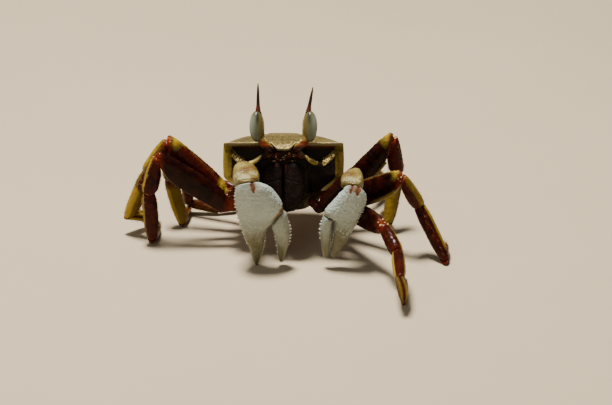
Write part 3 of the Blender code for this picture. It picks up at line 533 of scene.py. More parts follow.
class Limb:
    """Grid of a limb piece, and where each point lies on it.

    Each ring is a rounded section from lower to upper along the dorsal direction and thick to
    either side. Near an end it is slid along the limb, point by point, so that the end ring lies in
    the plane it is given, and the last stretch turns in as a quarter circle, the lip of the shell.
    """

    def __init__(self, grid, stations, dorsal, start_plane=None, end_plane=None, power=2.4,
                 reach=0.45, lip=0.5):
        rows, sides = GRIDS[grid]
        stations = np.asarray(stations, float)
        steps = np.linalg.norm(np.diff(stations[:, :3], axis=0), axis=1)
        place = np.concatenate([[0], np.cumsum(steps)])
        length = place[-1]
        even = np.linspace(0, 1, rows)
        share = 0.55 * even + 0.45 * (0.5 - 0.5 * np.cos(math.pi * even))
        ring = through(np.column_stack([place, stations]), share * length)
        centre, along = ring[:, :3], unit(ring[:, 3:6])
        lower, upper, thick = ring[:, 6:].T
        up = unit(dorsal - (along @ dorsal)[:, None] * along)
        side = np.cross(along, up)
        across, tall = section(sides, power)
        to_end = np.minimum(share, 1 - share) * length
        turn_in = lip * (1 - np.sqrt(1 - np.clip(1 - to_end / lip, 0, 1) ** 2))
        half = np.maximum((upper - lower) / 2 - turn_in, 0.1)
        wide = np.maximum(thick - turn_in, 0.1)
        middle = (upper + lower) / 2
        offset = ((wide[:, None] * across)[..., None] * side[:, None]
                  + (middle[:, None] + half[:, None] * tall)[..., None] * up[:, None])
        slide = np.zeros((rows, sides))
        for plane, fade in ((start_plane, 1 - share / reach), (end_plane, 1 - (1 - share) / reach)):
            if plane is not None:
                slope = (offset @ plane) / (along @ plane)[:, None]
                slide -= np.clip(fade, 0, 1)[:, None] * slope
        self.points = centre[:, None] + offset + slide[..., None] * along[:, None]
        self.share, self.place = share[:, None], (share * length)[:, None]
        self.turn = (np.arange(sides) * 2 * math.pi / sides)[None]
        self.tall, self.across = tall[None], across[None]
        self.up, self.side, self.along = up, side, along
        self.shape = (rows, sides)

    def skin(self, name, height, maker, slot, node=None, place=np.asarray, **marks):
        """Makes the piece: its grid raised by a height at each point, then placed in the world."""
        grid = place(raised(self.points, height))
        closed_skin(name, grid, marked(self.shape, **marks), maker, node)

    def upper_edge(self, width):
        """A bump of height 1 along the upper edge, with its width as a turn in radians."""
        return bell(self.turn, 0.0, width) + bell(self.turn, 2 * math.pi, width)

    def turn_towards(self, way):
        """How far each point faces a way: the cosine between that way and the grid's normal."""
        return grid_normals(self.points) @ unit(way)


def mitre(first, second):
    """Normal of the plane that two limb pieces share at their joint."""
    return unit(unit(first) + unit(second))


def clear_of(joint, direction, plane):
    """The joint moved along direction by half the gap, measured square to the plane."""
    return joint + direction * (GAP / 2) / np.dot(direction, plane)


def direction(side, heading, rise):
    """Unit direction from a heading out from the body and a rise, in degrees."""
    heading, rise = math.radians(heading), math.radians(rise)
    out = math.cos(rise) * math.cos(heading) * SIDES[side]
    return np.array([out, -math.cos(rise) * math.sin(heading), math.sin(rise)])


def leg_joints(side, number):
    """Coxa, merus base, knee, wrist, ankle and toe of a walking leg, in the world."""
    joints = [on_body(mirrored(COXA[number], side)), on_body(mirrored(MERUS_BASE[number], side))]
    *bends, toe_heading = LEG_POSE[side, number]
    lengths = LEG_LENGTHS[number]
    for length, (heading, rise) in zip(lengths, bends):
        joints.append(joints[-1] + length * direction(side, heading, rise))
    ankle = joints[-1]
    fall = -math.degrees(math.asin(ankle[2] / lengths[3]))
    joints.append(ankle + lengths[3] * direction(side, toe_heading, fall))
    return joints


def coxa_outward(side, number):
    """Outward direction of a coxa."""
    turn, tilt = math.radians(COXA_HEADING[number]), math.radians(COXA_TILT)
    local = np.array([math.cos(turn) * math.cos(tilt) * SIDES[side],
                      -math.sin(turn) * math.cos(tilt), math.sin(tilt)])
    return unit(on_body(local) - on_body(np.zeros(3)))


def rounded(path, tangents, half, thick):
    """Stations along a path, as far down as up from it."""
    return np.column_stack([path, tangents, -half, half, thick])


def barrel(joint, before, after, reach, half, thick):
    """Stations of a short piece of joint skin, bent through a joint from one way to another."""
    path = [joint - before * reach, joint, joint + after * reach]
    even = np.ones(3)
    return rounded(path, [before, mitre(before, after), after], half * even, thick * even)


def straight(start, end, shape, size, start_plane, end_plane):
    """Stations of a straight limb piece between two joints."""
    along = unit(end - start)
    first = clear_of(start, along, start_plane)
    last = clear_of(end, -along, -end_plane)
    table = np.array(shape)
    centres = first + np.outer(table[:, 0], last - first)
    return np.column_stack([centres, np.tile(along, (len(table), 1)), table[:, 1:] * size])


def rooted(coxa, base, end, start_plane, end_plane, root_shape, shape):
    """Stations of a limb piece that starts at the coxa, bends at its base and runs to a joint."""
    root, along = unit(base - coxa), unit(end - base)
    first = clear_of(coxa, root, start_plane)
    last = clear_of(end, -along, -end_plane)
    root_shape, shape = np.array(root_shape), np.array(shape)
    centres = np.vstack([first + np.outer(root_shape[:, 0], base - first),
                         base + np.outer(shape[:, 0], last - base)])
    tangents = np.vstack([np.tile(root, (len(root_shape) - 1, 1)), mitre(root, along),
                          np.tile(along, (len(shape), 1))])
    return np.column_stack([centres, tangents, np.vstack([root_shape, shape])[:, 1:]])


def leg_limbs(side, number):
    """The four limb grids of a walking leg, from merus to dactylus."""
    coxa, base, knee, wrist, ankle, toe = leg_joints(side, number)
    size = LEG_STOUTNESS[number]
    sideways = unit(np.cross(knee - base, UP))

    def dorsal(start, end):
        return unit(np.cross(sideways, end - start))

    planes = (mitre(coxa_outward(side, number), base - coxa), mitre(knee - base, wrist - knee),
              mitre(wrist - knee, ankle - wrist), mitre(ankle - wrist, toe - ankle))
    stout = np.array([1, *[MERUS_STOUTNESS[number]] * 3])
    merus = rooted(coxa, base, knee, planes[0], planes[1], np.array(ISCHIUM_SHAPE) * stout,
                   np.array(MERUS_SHAPE) * stout)
    carpus = straight(knee, wrist, CARPUS_SHAPE, size, planes[1], planes[2])
    propodus = straight(wrist, ankle, PROPODUS_SHAPE, size, planes[2], planes[3])

    chord = toe - ankle
    along = unit(chord)
    first = clear_of(ankle, along, planes[3])
    arch = unit(np.cross(np.cross(along, UP), along))
    table = np.array(DACTYLUS_SHAPE)
    share = table[:, :1]
    centres = first + share * (toe - first) + 4 * DACTYLUS_ARCH * share * (1 - share) * arch
    tangents = chord + 4 * DACTYLUS_ARCH * (1 - 2 * share) * arch
    dactylus = np.column_stack([centres, tangents, table[:, 1:] * size])
    return (Limb("merus", merus, dorsal(base, knee), planes[0], planes[1], reach=0.2),
            Limb("carpus", carpus, dorsal(knee, wrist), planes[1], planes[2]),
            Limb("propodus", propodus, dorsal(wrist, ankle), planes[2], planes[3]),
            Limb("dactylus", dactylus, arch, planes[3], -UP, reach=0.3, lip=0.15))


def back_height(across, behind):
    """Height of the back over the front margin: a low arch across, falling away at the rear."""
    outward = np.abs(across / HALF_WIDTH)
    arch = BACK_ARCH * (1 - outward ** 2.2) * smooth(-2, 12, behind)
    droop = FLANK_DROOP * np.clip(behind, 0, 22) * outward ** 3
    fall = np.clip((behind - 20) / (CARAPACE_LENGTH - 20), 0, 1) ** 1.7
    return arch - droop - REAR_DROP * fall


def flank(behind):
    """Half width of the carapace margin: nearly straight sides that close in behind."""
    bulge = 0.3 * np.sin(math.pi * np.clip(behind / 24, 0, 1))
    closing = np.clip((behind - 16) / 21, 0, 1) ** 1.8
    return HALF_WIDTH + bulge - 9.4 * closing


def orbit_edge(across):
    """Height of the orbit's lower edge: a shallow curve that sinks to -8 at 13.5 across."""
    return -8 + 0.1 * (np.abs(across) - 13.5) ** 2


def orbit(across, above):
    """Share of the orbit's depth at a place of the face: a long trough under the front margin."""
    across = np.abs(across)
    lower_edge = orbit_edge(across)
    inside_across = smooth(5.5, 8, across) * smooth(22.2, 20.3, across)
    inside_height = smooth(-0.4, -1.2, above) * smooth(lower_edge - 0.2, lower_edge + 1.4, above)
    return inside_across * inside_height


def face(across, above):
    """How far behind the front margin the face lies: orbits, mouth field and receding cheeks."""
    across = np.abs(across)
    bow = 1.2 + 0.0035 * across ** 2
    mouth = 1.8 * smooth(9.6, MOUTH_HALF_WIDTH, across) * smooth(MOUTH_TOP + 0.6, MOUTH_TOP, above)
    cheek = 5.0 * smooth(-12, -19, above) * smooth(8.9, 11, across)
    return bow + ORBIT_DEPTH * orbit(across, above) + mouth + cheek


# Points of half a ring of the carapace.
FRONT_POINTS = 118
SIDE_POINTS = 84
REAR_POINTS = 34


def carapace_ring(depth):
    """One ring of the carapace wall in body places, depth 0 at the margin and 1 at its foot."""
    front_across = np.linspace(0, FRONT_CORNER, FRONT_POINTS)
    side_behind = np.linspace(SIDE_FRONT, SIDE_REAR, SIDE_POINTS)
    rear_share = np.linspace(0.98, 0.0, REAR_POINTS)
    lobe = 1 - smooth(2.0, 5.2, front_across)
    margin_front = 0.3 + 1.0 * np.sin(math.pi * front_across / FRONT_CORNER) ** 2 - 2.9 * lobe
    tuck = 1 - 0.3 * smooth(0.68, 1.05, depth)

    # Front: the margin overhangs the face, with the lobe between the eyes bent down.
    margin_height = 0.1 - 1.9 * lobe
    foot = WALL_FOOT + WALL_FOOT_RISE * face(front_across * tuck, WALL_FOOT)
    above = margin_height + depth * (foot - margin_height)
    corner = FACE_HALF_WIDTH + (FRONT_CORNER - FACE_HALF_WIDTH) * smooth(0.08, 0, depth)
    narrow = 1 + (corner / FRONT_CORNER - 1) * smooth(9.0, 12.0, front_across)
    across = front_across * narrow * tuck
    leave = smooth(0.0, 0.05, depth)
    behind = margin_front * (1 - leave) + face(across, above) * leave
    front = np.stack([across, behind, above], axis=1)

    # Side: the wall starts at the edge of the face and swells to the flank.
    start = max(SIDE_FRONT, behind[-1] + 0.4)
    side_behind = start + (side_behind - SIDE_FRONT) * (SIDE_REAR - start) / (SIDE_REAR - SIDE_FRONT)
    flank_across = flank(side_behind)
    edge = 2.3 * smooth(8, 1, side_behind) * smooth(0, 0.08, depth)
    swell = 0.2 * math.sin(math.pi * min(depth / 0.7, 1))
    margin_height = back_height(flank_across, side_behind)
    rear_tuck = REAR_TUCK * smooth(16, SIDE_REAR, side_behind)
    foot = WALL_FOOT + WALL_FOOT_RISE * (side_behind - rear_tuck)
    side = np.stack([(flank_across - edge + swell) * tuck,
                     side_behind - rear_tuck * smooth(0.1, 1, depth),
                     margin_height + depth * (foot - margin_height)], axis=1)

    # Rear: a straight edge that slopes forward as it goes down.
    rear_across = REAR_HALF_WIDTH * rear_share
    rear_behind = CARAPACE_LENGTH - 0.9 * rear_share ** 4
    margin_height = back_height(rear_across, rear_behind)
    foot = WALL_FOOT + WALL_FOOT_RISE * (rear_behind - REAR_TUCK)
    rear = np.stack([rear_across * tuck, rear_behind - REAR_TUCK * smooth(0.1, 1, depth),
                     margin_height + depth * (foot - margin_height)], axis=1)

    half = np.vstack([front, side, rear])
    return np.vstack([half, half[-2:0:-1] * np.array([-1, 1, 1])])


# Width of one small copy in the bake map, as a share of the map.
BAKE_PATCH = 0.003


def scattered(name, template, faces, places, axes, marks, maker, slot, bake_places=None):
    """Many copies of one small closed shape, joined: each point is its place plus the template's
    point measured along three axes of its own."""
    count, points = len(places), len(template)
    vertices = (places[:, None] + np.einsum("pk,nkj->npj", template, axes)).reshape(-1, 3)
    triangles = (faces[None] + np.arange(count)[:, None, None] * points).reshape(-1, 3)
    marks = np.repeat(np.broadcast_to(marks, (count, 4)), points, axis=0)
    made = skin_object(name, vertices, np.zeros((0, 4), int), triangles, marks, maker)
    if bake_places is not None:
        layer = made.data.uv_layers.new(name="OFBake")
        loops = np.empty(len(made.data.loops), np.int32)
        made.data.loops.foreach_get("vertex_index", loops)
        spread = template[:, :2] / (np.ptp(template[:, :2]) + 1e-9) * BAKE_PATCH
        coordinates = (bake_places[:, None] + spread[None]).reshape(-1, 2)[loops]
        layer.data.foreach_set("uv", coordinates.astype(np.float32).ravel())


def turned_shape(profile, sides):
    """Points and faces of a small turned solid: rings of (radius, height) closed by two poles."""
    profile = np.asarray(profile, float)
    turn = np.arange(sides) * 2 * math.pi / sides
    rings = np.stack([profile[:, 0, None] * np.cos(turn), profile[:, 0, None] * np.sin(turn),
                      np.broadcast_to(profile[:, 1, None], (len(profile), sides))], axis=-1)
    index = np.arange(len(profile) * sides).reshape(len(profile), sides)
    after = np.roll(index, -1, axis=1)
    low, high = index.size, index.size + 1
    points = np.vstack([rings.reshape(-1, 3), [0, 0, profile[0, 1]], [0, 0, profile[-1, 1]]])
    faces = [np.stack([index[:-1], after[:-1], after[1:]], axis=-1).reshape(-1, 3),
             np.stack([index[:-1], after[1:], index[1:]], axis=-1).reshape(-1, 3),
             np.stack([after[0], index[0], np.full(sides, low)], axis=-1),
             np.stack([index[-1], after[-1], np.full(sides, high)], axis=-1)]
    return points, np.vstack(faces)


def axes_of(direction, hint, wide, deep, tall):
    """Three axes for each copy of a small shape: two across its direction, then along it."""
    direction = unit(direction)
    first = unit(np.cross(np.broadcast_to(hint, direction.shape), direction))
    second = np.cross(direction, first)
    lengths = [np.broadcast_to(size, len(direction))[:, None] for size in (wide, deep, tall)]
    return np.stack([first * lengths[0], second * lengths[1], direction * lengths[2]], axis=1)


KNOB = turned_shape([(0.35, -0.94), (0.7, -0.7), (0.94, -0.35), (1, 0), (0.94, 0.35), (0.7, 0.7),
                     (0.35, 0.94), (0.12, 0.995)], 12)
TOOTH = turned_shape([(0.9, -0.9), (1.0, 0.0), (0.8, 0.45), (0.42, 0.85), (0.12, 1.0)], 7)
HAIR = turned_shape([(1.0, -0.15), (0.8, 0.35), (0.5, 0.7), (0.12, 1.0)], 3)


class Wire:
    """A socket of a material; adding, subtracting and multiplying it adds a Math node."""

    def __init__(self, finish, socket):
        self.finish, self.socket = finish, socket

    def maths(self, operation, first, second):
        """The wire of a new Math node over two wires or numbers."""
        return self.finish.add("ShaderNodeMath", {"operation": operation}, {0: first, 1: second})

    def __add__(self, other):
        return self.maths("ADD", self, other)

    def __sub__(self, other):
        return self.maths("SUBTRACT", self, other)

    def __mul__(self, other):
        return self.maths("MULTIPLY", self, other)


class Finish:
    """One material: a Principled shader, its nodes, and one way to add any node."""

    def __init__(self, name, **fixed):
        self.material = bpy.data.materials.new(name)
        self.material.use_nodes = True
        self.tree = self.material.node_tree
        self.shader = self.tree.nodes["Principled BSDF"]
        for socket, value in fixed.items():
            self.shader.inputs[socket.replace("_", " ")].default_value = value
        place = self.add("ShaderNodeTexCoord", output="Object")
        self.place = self.add("ShaderNodeVectorMath", {"operation": "SCALE"},
                              {0: place, "Scale": 1 / MM})
        attribute = {"attribute_type": "GEOMETRY", "attribute_name": "marks"}
        colour = self.add("ShaderNodeAttribute", attribute, output="Color")
        parts = self.add("ShaderNodeSeparateColor", {}, {"Color": colour}, output=None)
        self.olive, self.red, self.light = (Wire(self, parts.outputs[i]) for i in range(3))
        self.relief = Wire(self, colour.socket.node.outputs["Alpha"])

    def add(self, kind, settings=None, inputs=None, output=0):
        """Adds a node, with its settings first and then the values or links of its sockets."""
        node = self.tree.nodes.new(kind)
        for setting, value in (settings or {}).items():
            setattr(node, setting, value)
        for socket, value in (inputs or {}).items():
            self.feed(node.inputs[socket], value)
        return node if output is None else Wire(self, node.outputs[output])

    def feed(self, socket, value):
        """Links a wire to a socket, or sets the socket's own value."""
        if isinstance(value, Wire):
            self.tree.links.new(value.socket, socket)
        else:
            socket.default_value = value

    def noise(self, size, detail=2.0, shift=0.0):
        """Soft random shares with features of a size in millimetres."""
        moved = self.add("ShaderNodeVectorMath", {"operation": "ADD"},
                         {0: self.place, 1: (shift, shift, shift)})
        return self.add("ShaderNodeTexNoise", {},
                        {"Vector": moved, "Scale": 1 / size, "Detail": detail})

    def cells(self, size):
        """Distance to the nearest of random points spaced by a size in millimetres."""
        return self.add("ShaderNodeTexVoronoi", {}, {"Vector": self.place, "Scale": 1 / size})

    def step(self, value, low, high):
        """Rises from 0 at low to 1 at high, level at both."""
        return self.add("ShaderNodeMapRange", {"interpolation_type": "SMOOTHSTEP"},
                        {"Value": value, "From Min": low, "From Max": high})

    def mix(self, share, first, second):
        """A colour between two, by a share."""
        first, second = (end if isinstance(end, Wire) else (*end, 1.0) for end in (first, second))
        return self.add("ShaderNodeMix", {"data_type": "RGBA"},
                        {"Factor": share, 6: first, 7: second}, output=2)

    def surface(self, colour, roughness, height, depth):
        """Sets what varies over the surface: colour, roughness and bump of a depth in millimetres."""
        self.feed(self.shader.inputs["Base Color"], colour)
        self.feed(self.shader.inputs["Roughness"], roughness)
        bump = self.add("ShaderNodeBump", {}, {"Height": height, "Strength": 0.7,
                                               "Distance": depth * MM})
        self.feed(self.shader.inputs["Normal"], bump)
        return self.material


def shade(colour, factor):
    """The colour made darker or lighter by a factor."""
    return tuple(factor * value for value in colour)


def shell_finish(name, bases, olives, reds, light, roughness, tips=0.0, hollow_shade=0.0, coat=0.15,
                 gloss=0.4):
    """Crab shell: a mottled base with olive, red and light areas by the marks.

    Each of bases, olives and reds is a darker and a fuller colour. Olive and red pass from the
    darker to the fuller one as their mark rises. Granule tips are lightened as a painted highlight,
    and the hollows between granules are darkened as painted shade.
    """
    finish = Finish(name, Coat_Weight=coat, Coat_Roughness=0.1, Specular_IOR_Level=gloss)
    mottle = finish.noise(2.6, 4.0)
    grain = finish.noise(0.34, 3.0, 5.0)
    blotch = finish.noise(7.0, 2.0, 11.0)
    ragged = (mottle - 0.5) * 0.5 + (grain - 0.5) * 0.22
    colour = finish.mix(finish.step(mottle * 0.6 + blotch * 0.5, 0.38, 0.72), *bases)
    for mark, (dark, full) in ((finish.red, reds), (finish.olive, olives)):
        colour = finish.mix(finish.step(mark + ragged * 0.8, 0.14, 0.5), colour, dark)
        colour = finish.mix(finish.step(mark + ragged, 0.5, 0.95), colour, full)
    colour = finish.mix(finish.step(finish.light + ragged * 0.6, 0.3, 0.7), colour, light)
    # Painted highlight on the granule tips, and painted shade in the hollows between granules.
    if tips:
        colour = finish.mix(finish.step(finish.relief, 0.55, 1.0) * tips, colour, light)
    if hollow_shade:
        colour = finish.mix(finish.step(finish.relief, 0.5, 0.0) * hollow_shade, colour, bases[0])
    rough = finish.step(grain, 0.2, 0.8) * 0.2 + roughness
    height = grain * 0.7 + finish.cells(0.45) * 0.5
    return finish.surface(colour, rough, height, 0.05)


def leg_finish(c):
    """Dark maroon shell with olive and yellow stretches and orange red joints."""
    return shell_finish("leg shell", (c.night, c.maroon), (c.brown, c.yellow), (c.ember, c.rust),
                        c.cream, 0.26, coat=0.11, gloss=0.03)


def back_finish(c):
    """Sandy olive back with brown marks, pale granule tips and a cream front."""
    bases, olives = (shade(c.olive, 0.5), c.olive), (shade(c.olive, 1.5), c.cream)
    return shell_finish("back shell", bases, olives, (shade(c.olive, 0.45), c.mark), c.cream, 0.42,
                        tips=0.24, hollow_shade=0.6, coat=0.05, gloss=0.3)


def face_finish(c):
    """Near black face, its dark maroon darkened as painted shade, with olive edges, yellow leaves and
    dark red mouth parts.
    """
    leaf, dark_red = (0.27, 0.195, 0.028), (0.12, 0.022, 0.006)
    return shell_finish("face shell", (c.night, c.night), (c.brown, leaf),
                        (shade(c.ember, 0.4), dark_red), c.cream, 0.5, tips=0.03, hollow_shade=0.2,
                        coat=0.0, gloss=0.1)


def claw_finish(c):
    """Pebbled cool white, a darker warm olive towards the fingers that is partly their own tone and
    partly painted shade, with brown and orange at the joints.
    """
    brown, pale = (0.155, 0.064, 0.008), (0.60, 0.62, 0.53)
    between = tuple((white + warm_and_shade) / 2 for white, warm_and_shade in zip(c.white, c.warm_and_shade))
    return shell_finish("claw shell", (shade(c.white, 0.78), c.white), (between, c.warm_and_shade),
                        (brown, c.rust), pale, 0.34, tips=0.06, hollow_shade=0.75, coat=0.1)


def wrist_finish(c):
    """Cream and yellow brown, with brown streaks and pale pebbles."""
    tan, sandy = (0.145, 0.095, 0.017), (0.24, 0.197, 0.048)
    brown, pale = (0.105, 0.044, 0.006), (0.42, 0.42, 0.24)
    return shell_finish("wrist shell", (tan, sandy), (tan, brown), (brown, c.rust), pale, 0.36,
                        tips=0.22, hollow_shade=0.7, coat=0.1, gloss=0.25)


def under_finish(c):
    """Reddish cream shell of the underside with dark red grooves, near black in front as painted shadow.
    """
    bases = (0.26, 0.13, 0.06), (0.42, 0.27, 0.15)
    return shell_finish("under shell", bases, (c.brown, c.cream), (c.ember, c.night), c.cream, 0.42,
                        tips=0.1, hollow_shade=0.3, coat=0.0, gloss=0.2)


def skin_finish(c):
    """Smooth orange red skin between the hard pieces."""
    finish = Finish("joint skin", Coat_Weight=0.3, Coat_Roughness=0.2, Specular_IOR_Level=0.4)
    folds = finish.noise(0.6, 3.0)
    colour = finish.mix(folds, c.ember, shade(c.rust, 0.75))
    return finish.surface(colour, folds * 0.2 + 0.3, folds, 0.05)


def stalk_finish(c):
    """Orange red eyestalk, olive and cream beside the cornea, dark red under the horn."""
    finish = Finish("stalk skin", Coat_Weight=0.06, Coat_Roughness=0.2, Specular_IOR_Level=0.2)
    mottle = finish.noise(0.9, 3.0)
    fine = finish.noise(0.25, 2.0)
    orange = finish.mix(mottle, (0.07, 0.009, 0.002), (0.18, 0.034, 0.004))
    olive = finish.mix(mottle, c.brown, c.olive)
    colour = finish.mix(finish.step(finish.olive + (mottle - 0.5) * 0.4, 0.3, 0.7), orange, olive)
    colour = finish.mix(finish.step(finish.light + (fine - 0.5) * 0.6, 0.3, 0.7), colour, c.cream)
    colour = finish.mix(finish.step(finish.red + (fine - 0.5) * 0.3, 0.3, 0.7), colour,
                        shade(c.ember, 0.35))
    return finish.surface(colour, mottle * 0.15 + 0.3, fine, 0.03)


def cornea_finish(c):
    """Satin grey green eye, blue grey on its outer side, with a soft dark spot near its top."""
    finish = Finish("cornea", Coat_Weight=0.08, Coat_Roughness=0.3, Specular_IOR_Level=0.22)
    streak = finish.noise(0.8, 2.0)
    colour = finish.mix(streak, shade(c.eye, 0.7), c.eye)
    colour = finish.mix(finish.light, colour, c.eye_light)
    colour = finish.mix(finish.olive, colour, c.brown)
    colour = finish.mix(finish.red, colour, c.pupil)
    return finish.surface(colour, streak * 0.08 + 0.26, finish.cells(0.12), 0.008)


def horn_finish(c):
    """Dark red horn, brighter at its foot."""
    finish = Finish("horn", Coat_Weight=0.15, Coat_Roughness=0.25, Specular_IOR_Level=0.35)
    fibre = finish.noise(0.3, 2.0)
    dark = finish.mix(fibre, c.night, c.maroon)
    colour = finish.mix(finish.red, dark, shade(c.ember, 1.3))
    return finish.surface(colour, fibre * 0.2 + 0.35, fibre, 0.02)


def hair_finish(c):
    """Golden brown hair, darker in places."""
    finish = Finish("hair", Specular_IOR_Level=0.3)
    tone = finish.noise(1.5, 1.0)
    colour = finish.mix(tone, (0.12, 0.06, 0.02), c.hair)
    return finish.surface(colour, tone * 0.1 + 0.5, tone, 0.01)


FINISHES = {}


def finish_of(maker):
    """The material of a finish, made on its first use."""
    name = maker.__name__
    if name not in FINISHES:
        FINISHES[name] = maker(bpy.context.scene.crab_colours)
    return FINISHES[name]


class CRAB_OT_back(bpy.types.Operator):
    """Makes the granular back of the carapace"""

    bl_idname = "crab.back"
    bl_label = "Back"

    def execute(self, context):
        detail = sizes()
        margin = carapace_ring(0.0)
        even = np.linspace(0.012, 1, BACK_ROWS)[:, None, None]
        share = 0.4 * even + 0.6 * np.sin(even * math.pi / 2)
        grid = BACK_CENTRE + share * (margin - BACK_CENTRE)
        flat = back_height(grid[..., 0], grid[..., 1])
        near = smooth(0.72, 1.0, share[..., 0])
        grid[..., 2] = flat + near * (margin[:, 2] - back_height(margin[:, 0], margin[:, 1]))

        groove = self.groove(np.abs(grid[..., 0]), grid[..., 1])
        rim = smooth(0.95, 0.985, share[..., 0])
        domes = pebbles(grid, detail.back_granule, detail.seed)
        coarse = smooth(0.45, 1.0, share[..., 0]) * 0.5 + 0.5
        height = detail.relief * domes * coarse * (1 - 0.6 * groove) - GROOVE_DEPTH * groove
        height += rim * (0.10 + 0.12 * pebbles(grid, 0.85, detail.seed + 3))
        height += 0.08 * wobble(grid, 5.0, detail.seed)
        skin = raised(grid, height)
        marks = self.marks(grid, share[..., 0], groove, domes, detail.seed)

        # The lip turns under and closes inside the walls.
        under = [skin[-1] - [0, 0, drop] for drop in (0.35, 0.6)]
        inside = BACK_CENTRE + 0.94 * (skin[-1] - BACK_CENTRE) - [0, 0, 1.2]
        grid = np.concatenate([skin, [*under, inside]])
        marks = np.concatenate([marks, marked((3, grid.shape[1]), red=0.8)])
        closed_skin("back", on_body(grid), marks, back_finish, "carapace")
        return {"FINISHED"}

    def groove(self, across, behind):
        """Shares of a groove's depth: the cervical groove curves out and forward on each side, a
        branchial one parts the heart region from the gills, and a short one runs down the front."""
        cervical = bell(behind, 17.5 + 0.018 * across ** 2, 0.9) * smooth(14, 9, across)
        branchial = bell(across, 6.3 + 0.02 * (behind - 25) ** 2, 0.8) * smooth(17, 19, behind)
        branchial *= smooth(33, 29, behind)
        front = bell(across, 0, 0.5) * smooth(9, 6, behind) * smooth(-1, 1.5, behind)
        return np.maximum(np.maximum(cervical, branchial), front)

    def marks(self, grid, share, groove, domes, seed):
        """An H of dark brown over the gill regions, a mottled cream lobe with painted glints near its
        edge, and tan margins.
        """
        across, behind = np.abs(grid[..., 0]), grid[..., 1]
        comma = bell(across, 7.0 + 0.06 * (behind - 27) ** 2, 2.4) * smooth(17, 21, behind)
        comma *= smooth(36, 31, behind)
        bridge = bell(behind, 22.0, 1.6) * smooth(8, 6, across)
        dark = np.maximum(comma, 0.8 * bridge)
        lobe = smooth(6.0, 4.0, across) * smooth(3.5, 0.5, behind)
        edge = smooth(0.955, 0.99, share)
        freckles = smooth(0.45, 0.8, wobble(grid, 1.7, seed + 5)) * 0.35
        tip = smooth(0.5, -1.8, behind)
        patches = wobble(grid, 1.5, seed + 6)
        spots = smooth(0.0, 0.5, wobble(grid, 0.6, seed + 9))
        tan = 0.8 * edge + lobe * (0.35 + 0.5 * patches) + 0.15 * smooth(8, 2, behind)
        # The lobe's pale granule tops and the pale spots near its lower edge are painted glints.
        return marked(across.shape, olive=tan, red=dark + freckles + 0.25 * groove,
                      light=lobe * (0.2 * domes + 0.95 * tip * spots), relief=domes)


class WallForm:
    """Shares of the regions of the walls, which their relief and their marks both follow."""

    def __init__(self, grid, detail):
        across, above = np.abs(grid[..., 0]), grid[..., 2]
        self.across, self.behind, self.above = across, grid[..., 1], above

        # The points of a ring are counted both ways from the middle of the front.
        count = grid.shape[1]
        counted = np.minimum(np.arange(count), count - np.arange(count))[None]
        self.flanks = smooth(FRONT_POINTS - 5, FRONT_POINTS - 1, counted)
        self.front = 1 - self.flanks
        self.edge = edge = orbit_edge(across)
        self.cheeks = smooth(edge - 0.6, edge - 2.0, above) * smooth(8.9, 10, across) * self.front

        # A granular patch at the outer end of the orbit's lower edge, and a smooth yellow leaf at
        # its inner end.
        outer_patch = smooth(14.4, 15.4, across) * smooth(1.7, 1.2, np.abs(above - edge - 0.4))
        self.outer_patch = outer_patch * (self.front * smooth(20.6, 20.0, across))
        inner_patch = smooth(1.0, 0.75, np.hypot((across - 10.7) / 2.9, (above - edge - 0.2) / 1.05))
        self.inner_patch = inner_patch * self.front
        self.beads = pebbles(grid, 0.6, detail.seed + 1)
        self.domes = pebbles(grid, detail.back_granule * 0.8, detail.seed)


